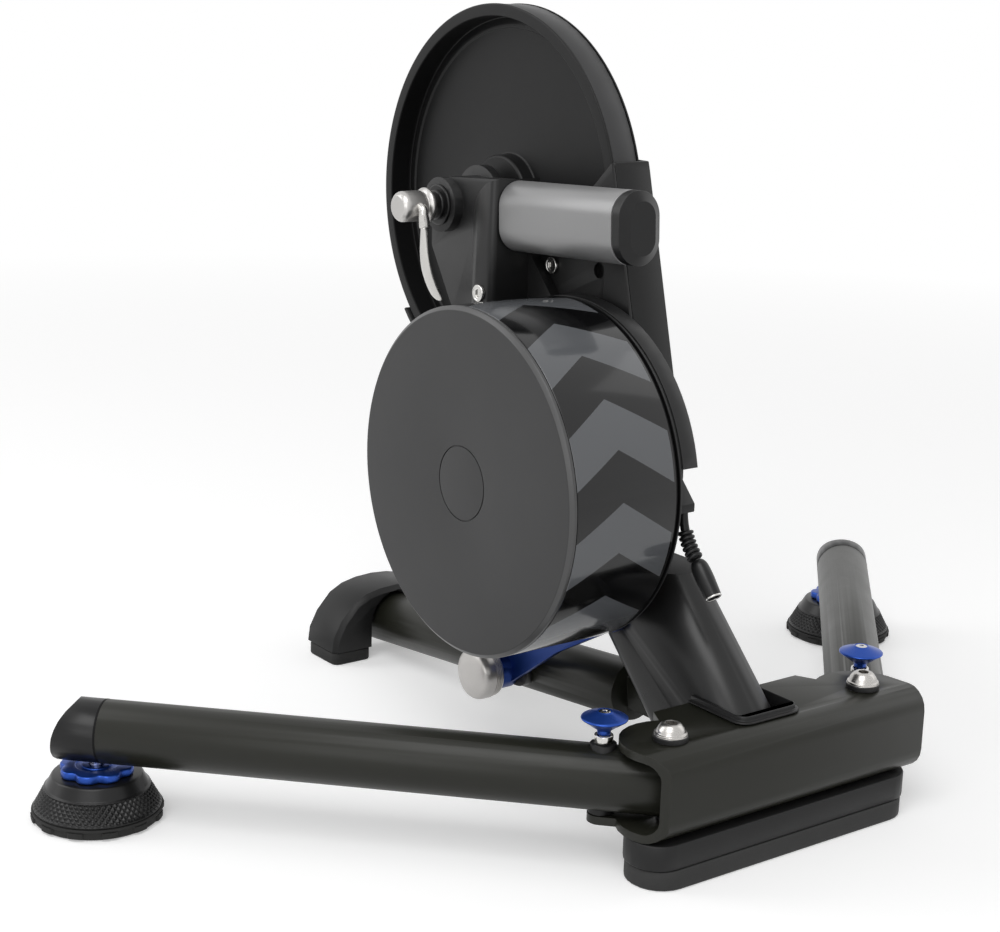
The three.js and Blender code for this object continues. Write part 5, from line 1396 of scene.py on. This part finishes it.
@dataclass
class Stay:
    """The blue height strut, its blue darkened as painted shade, and the silver clamp knob."""

    left: float = -58.5
    length: float = 18
    radius: float = 17.5
    crown: float = 1.2
    grooves: int = 4
    screw: float = 4
    screw_end: float = -19.3

    def knob(self) -> None:
        """The knob: a domed face, a barrel side and fine rings near its back, on its screw."""
        left, r, back = self.left, self.radius, self.left + self.length
        corners = [
            (0, left), (0.50 * r, left + 0.25 * self.crown, 2), (0.90 * r, left + 1.7 * self.crown, 3),
            (r, left + 5.5, 3), (r, back - 7.6),
        ]
        for n in range(self.grooves):
            start = back - 7.2 + n * 1.5
            for depth, step in ((0.0, 0.0), (0.55, 0.25), (0.55, 0.65), (0.0, 0.9)):
                corners.append((r - (0.25 * n + depth), start + step))
        corners += [
            (r - 1.1, back - 0.7, 0.5), (r - 1.9, back, 0.3), (self.screw, back),
            (self.screw, self.screw_end - 0.5), (self.screw - 0.5, self.screw_end), (0, self.screw_end),
        ]
        knob = lathe("clamp_knob_turned", corners, 5, Axis.X, CLAMP_AXIS, 128, sharp=40)
        show(knob, "clamp", KNOB_STEEL, "clamp_knob")

    def build(self) -> None:
        """Makes the strut and its knob."""
        # The strut's darker blue is painted shade.
        softened("height_strut", "strut", SHADED_STRUT_BLUE, 0.8)
        self.knob()


# ---------------------------------------------------------------- studio


@dataclass
class Studio:
    """Pale floor, soft lamps, white surroundings and the camera of the photograph, in metres."""

    eye: tuple[float, float, float] = (-0.7958, -0.9900, 0.5105)
    azimuth: float = math.radians(-36.86)
    elevation: float = math.radians(14.38)
    roll: float = math.radians(1.70)
    lens: float = 71.95
    sensor: float = 36.0
    floor_half: float = 30.0
    floor_colour: tuple[float, float, float] = (0.80, 0.80, 0.80)
    floor_glow: float = 0.34
    floor_near: float = 0.7
    floor_far: float = 2.2
    sky: float = 0.45
    lamps: tuple = field(
        default_factory=lambda: (
            ("key", (-1.3, -0.9, 2.4), (1.6, 1.6), 30.0),
            ("side", (2.2, -0.6, 1.5), (1.2, 1.8), 4.5),
            ("front", (-1.8, 1.6, 1.6), (1.2, 1.8), 16.0),
            ("fill", (-2.2, -1.6, 0.9), (1.6, 1.2), 10.0),
        )
    )

    def camera(self) -> None:
        """The camera, turned from its azimuth, elevation and roll."""
        a, e, r = self.azimuth, self.elevation, self.roll
        back = Vector((math.sin(a) * math.cos(e), -math.cos(a) * math.cos(e), math.sin(e)))
        right = Vector((0, 0, 1)).cross(back).normalized()
        up = back.cross(right)
        right, up = right * math.cos(r) + up * math.sin(r), up * math.cos(r) - right * math.sin(r)
        data = bpy.data.cameras.new("photograph")
        data.lens = self.lens
        data.sensor_width = self.sensor
        data.clip_end = 200.0
        lens = bpy.data.objects.new("photograph", data)
        turn = Matrix((right, up, back)).transposed().to_4x4()
        lens.matrix_world = Matrix.Translation(Vector(self.eye)) @ turn
        bpy.context.scene.collection.objects.link(lens)
        bpy.context.scene.camera = lens

    def floor(self) -> None:
        """A wide floor that takes the object's shadow and turns into plain white away from it."""
        h = self.floor_half / MM
        u, v = np.meshgrid(np.linspace(-h, h, 9), np.linspace(-h, h, 9), indexing="ij")
        plane = skin("studio_floor", np.stack([u, v, 0 * u - 0.2], -1), wrap_columns=False)
        material = bpy.data.materials.new("studio_floor")
        material.use_nodes = True
        net = Net(material.node_tree)
        x, y, _ = net.axes(net.place())
        away = (x * x + y * y).root().ramp(self.floor_near, self.floor_far)
        glow = net.mix(away, (self.floor_glow,) * 3, (1.0, 1.0, 1.0))
        black = (0.0, 0.0, 0.0)
        shader = net.add(
            "ShaderNodeBsdfPrincipled",
            None,
            {
                "Base Color": net.mix(away, self.floor_colour, black),
                "Roughness": 0.6,
                "Specular IOR Level": 0.0,
                "Emission Color": net.mix(net.plainly_seen(), black, glow),
                "Emission Strength": 1.0,
            },
        )
        net.add("ShaderNodeOutputMaterial", None, {"Surface": shader})
        plane.data.materials.append(material)

    def surroundings(self) -> None:
        """A plain sky: white where it is seen, softer where it only lights."""
        world = bpy.data.worlds.new("studio")
        bpy.context.scene.world = world
        world.use_nodes = True
        net = Net(world.node_tree)
        strength = net.plainly_seen() * (1.0 - self.sky) + self.sky
        light = net.add("ShaderNodeBackground", None, {"Color": (1, 1, 1, 1), "Strength": strength})
        net.add("ShaderNodeOutputWorld", None, {"Surface": light})

    def lights(self) -> None:
        """Soft area lamps that look at the flywheel."""
        target = Vector((0.0, 0.0, 0.2))
        for name, place, (wide, high), power in self.lamps:
            data = bpy.data.lights.new("lamp_" + name, "AREA")
            data.shape = "RECTANGLE"
            data.size, data.size_y = wide, high
            data.energy = power
            lamp = bpy.data.objects.new("lamp_" + name, data)
            turn = (target - Vector(place)).to_track_quat("-Z", "Y").to_matrix().to_4x4()
            lamp.matrix_world = Matrix.Translation(Vector(place)) @ turn
            bpy.context.scene.collection.objects.link(lamp)

    def build(self) -> None:
        """Sets up the view, the floor, the lamps and the sky."""
        bpy.context.scene.view_settings.view_transform = "Standard"
        self.camera()
        self.floor()
        self.surroundings()
        self.lights()


def main() -> None:
    legs = [Leg(side) for side in Side]
    for part in [Stand(), CentreBeam(), *legs, Mast(), Handle(), Brake(), Drive(), Hub(), Stay(), Studio()]:
        part.build()
        LOG.info("built %s", type(part).__name__)


if __name__ == "__main__":
    main()
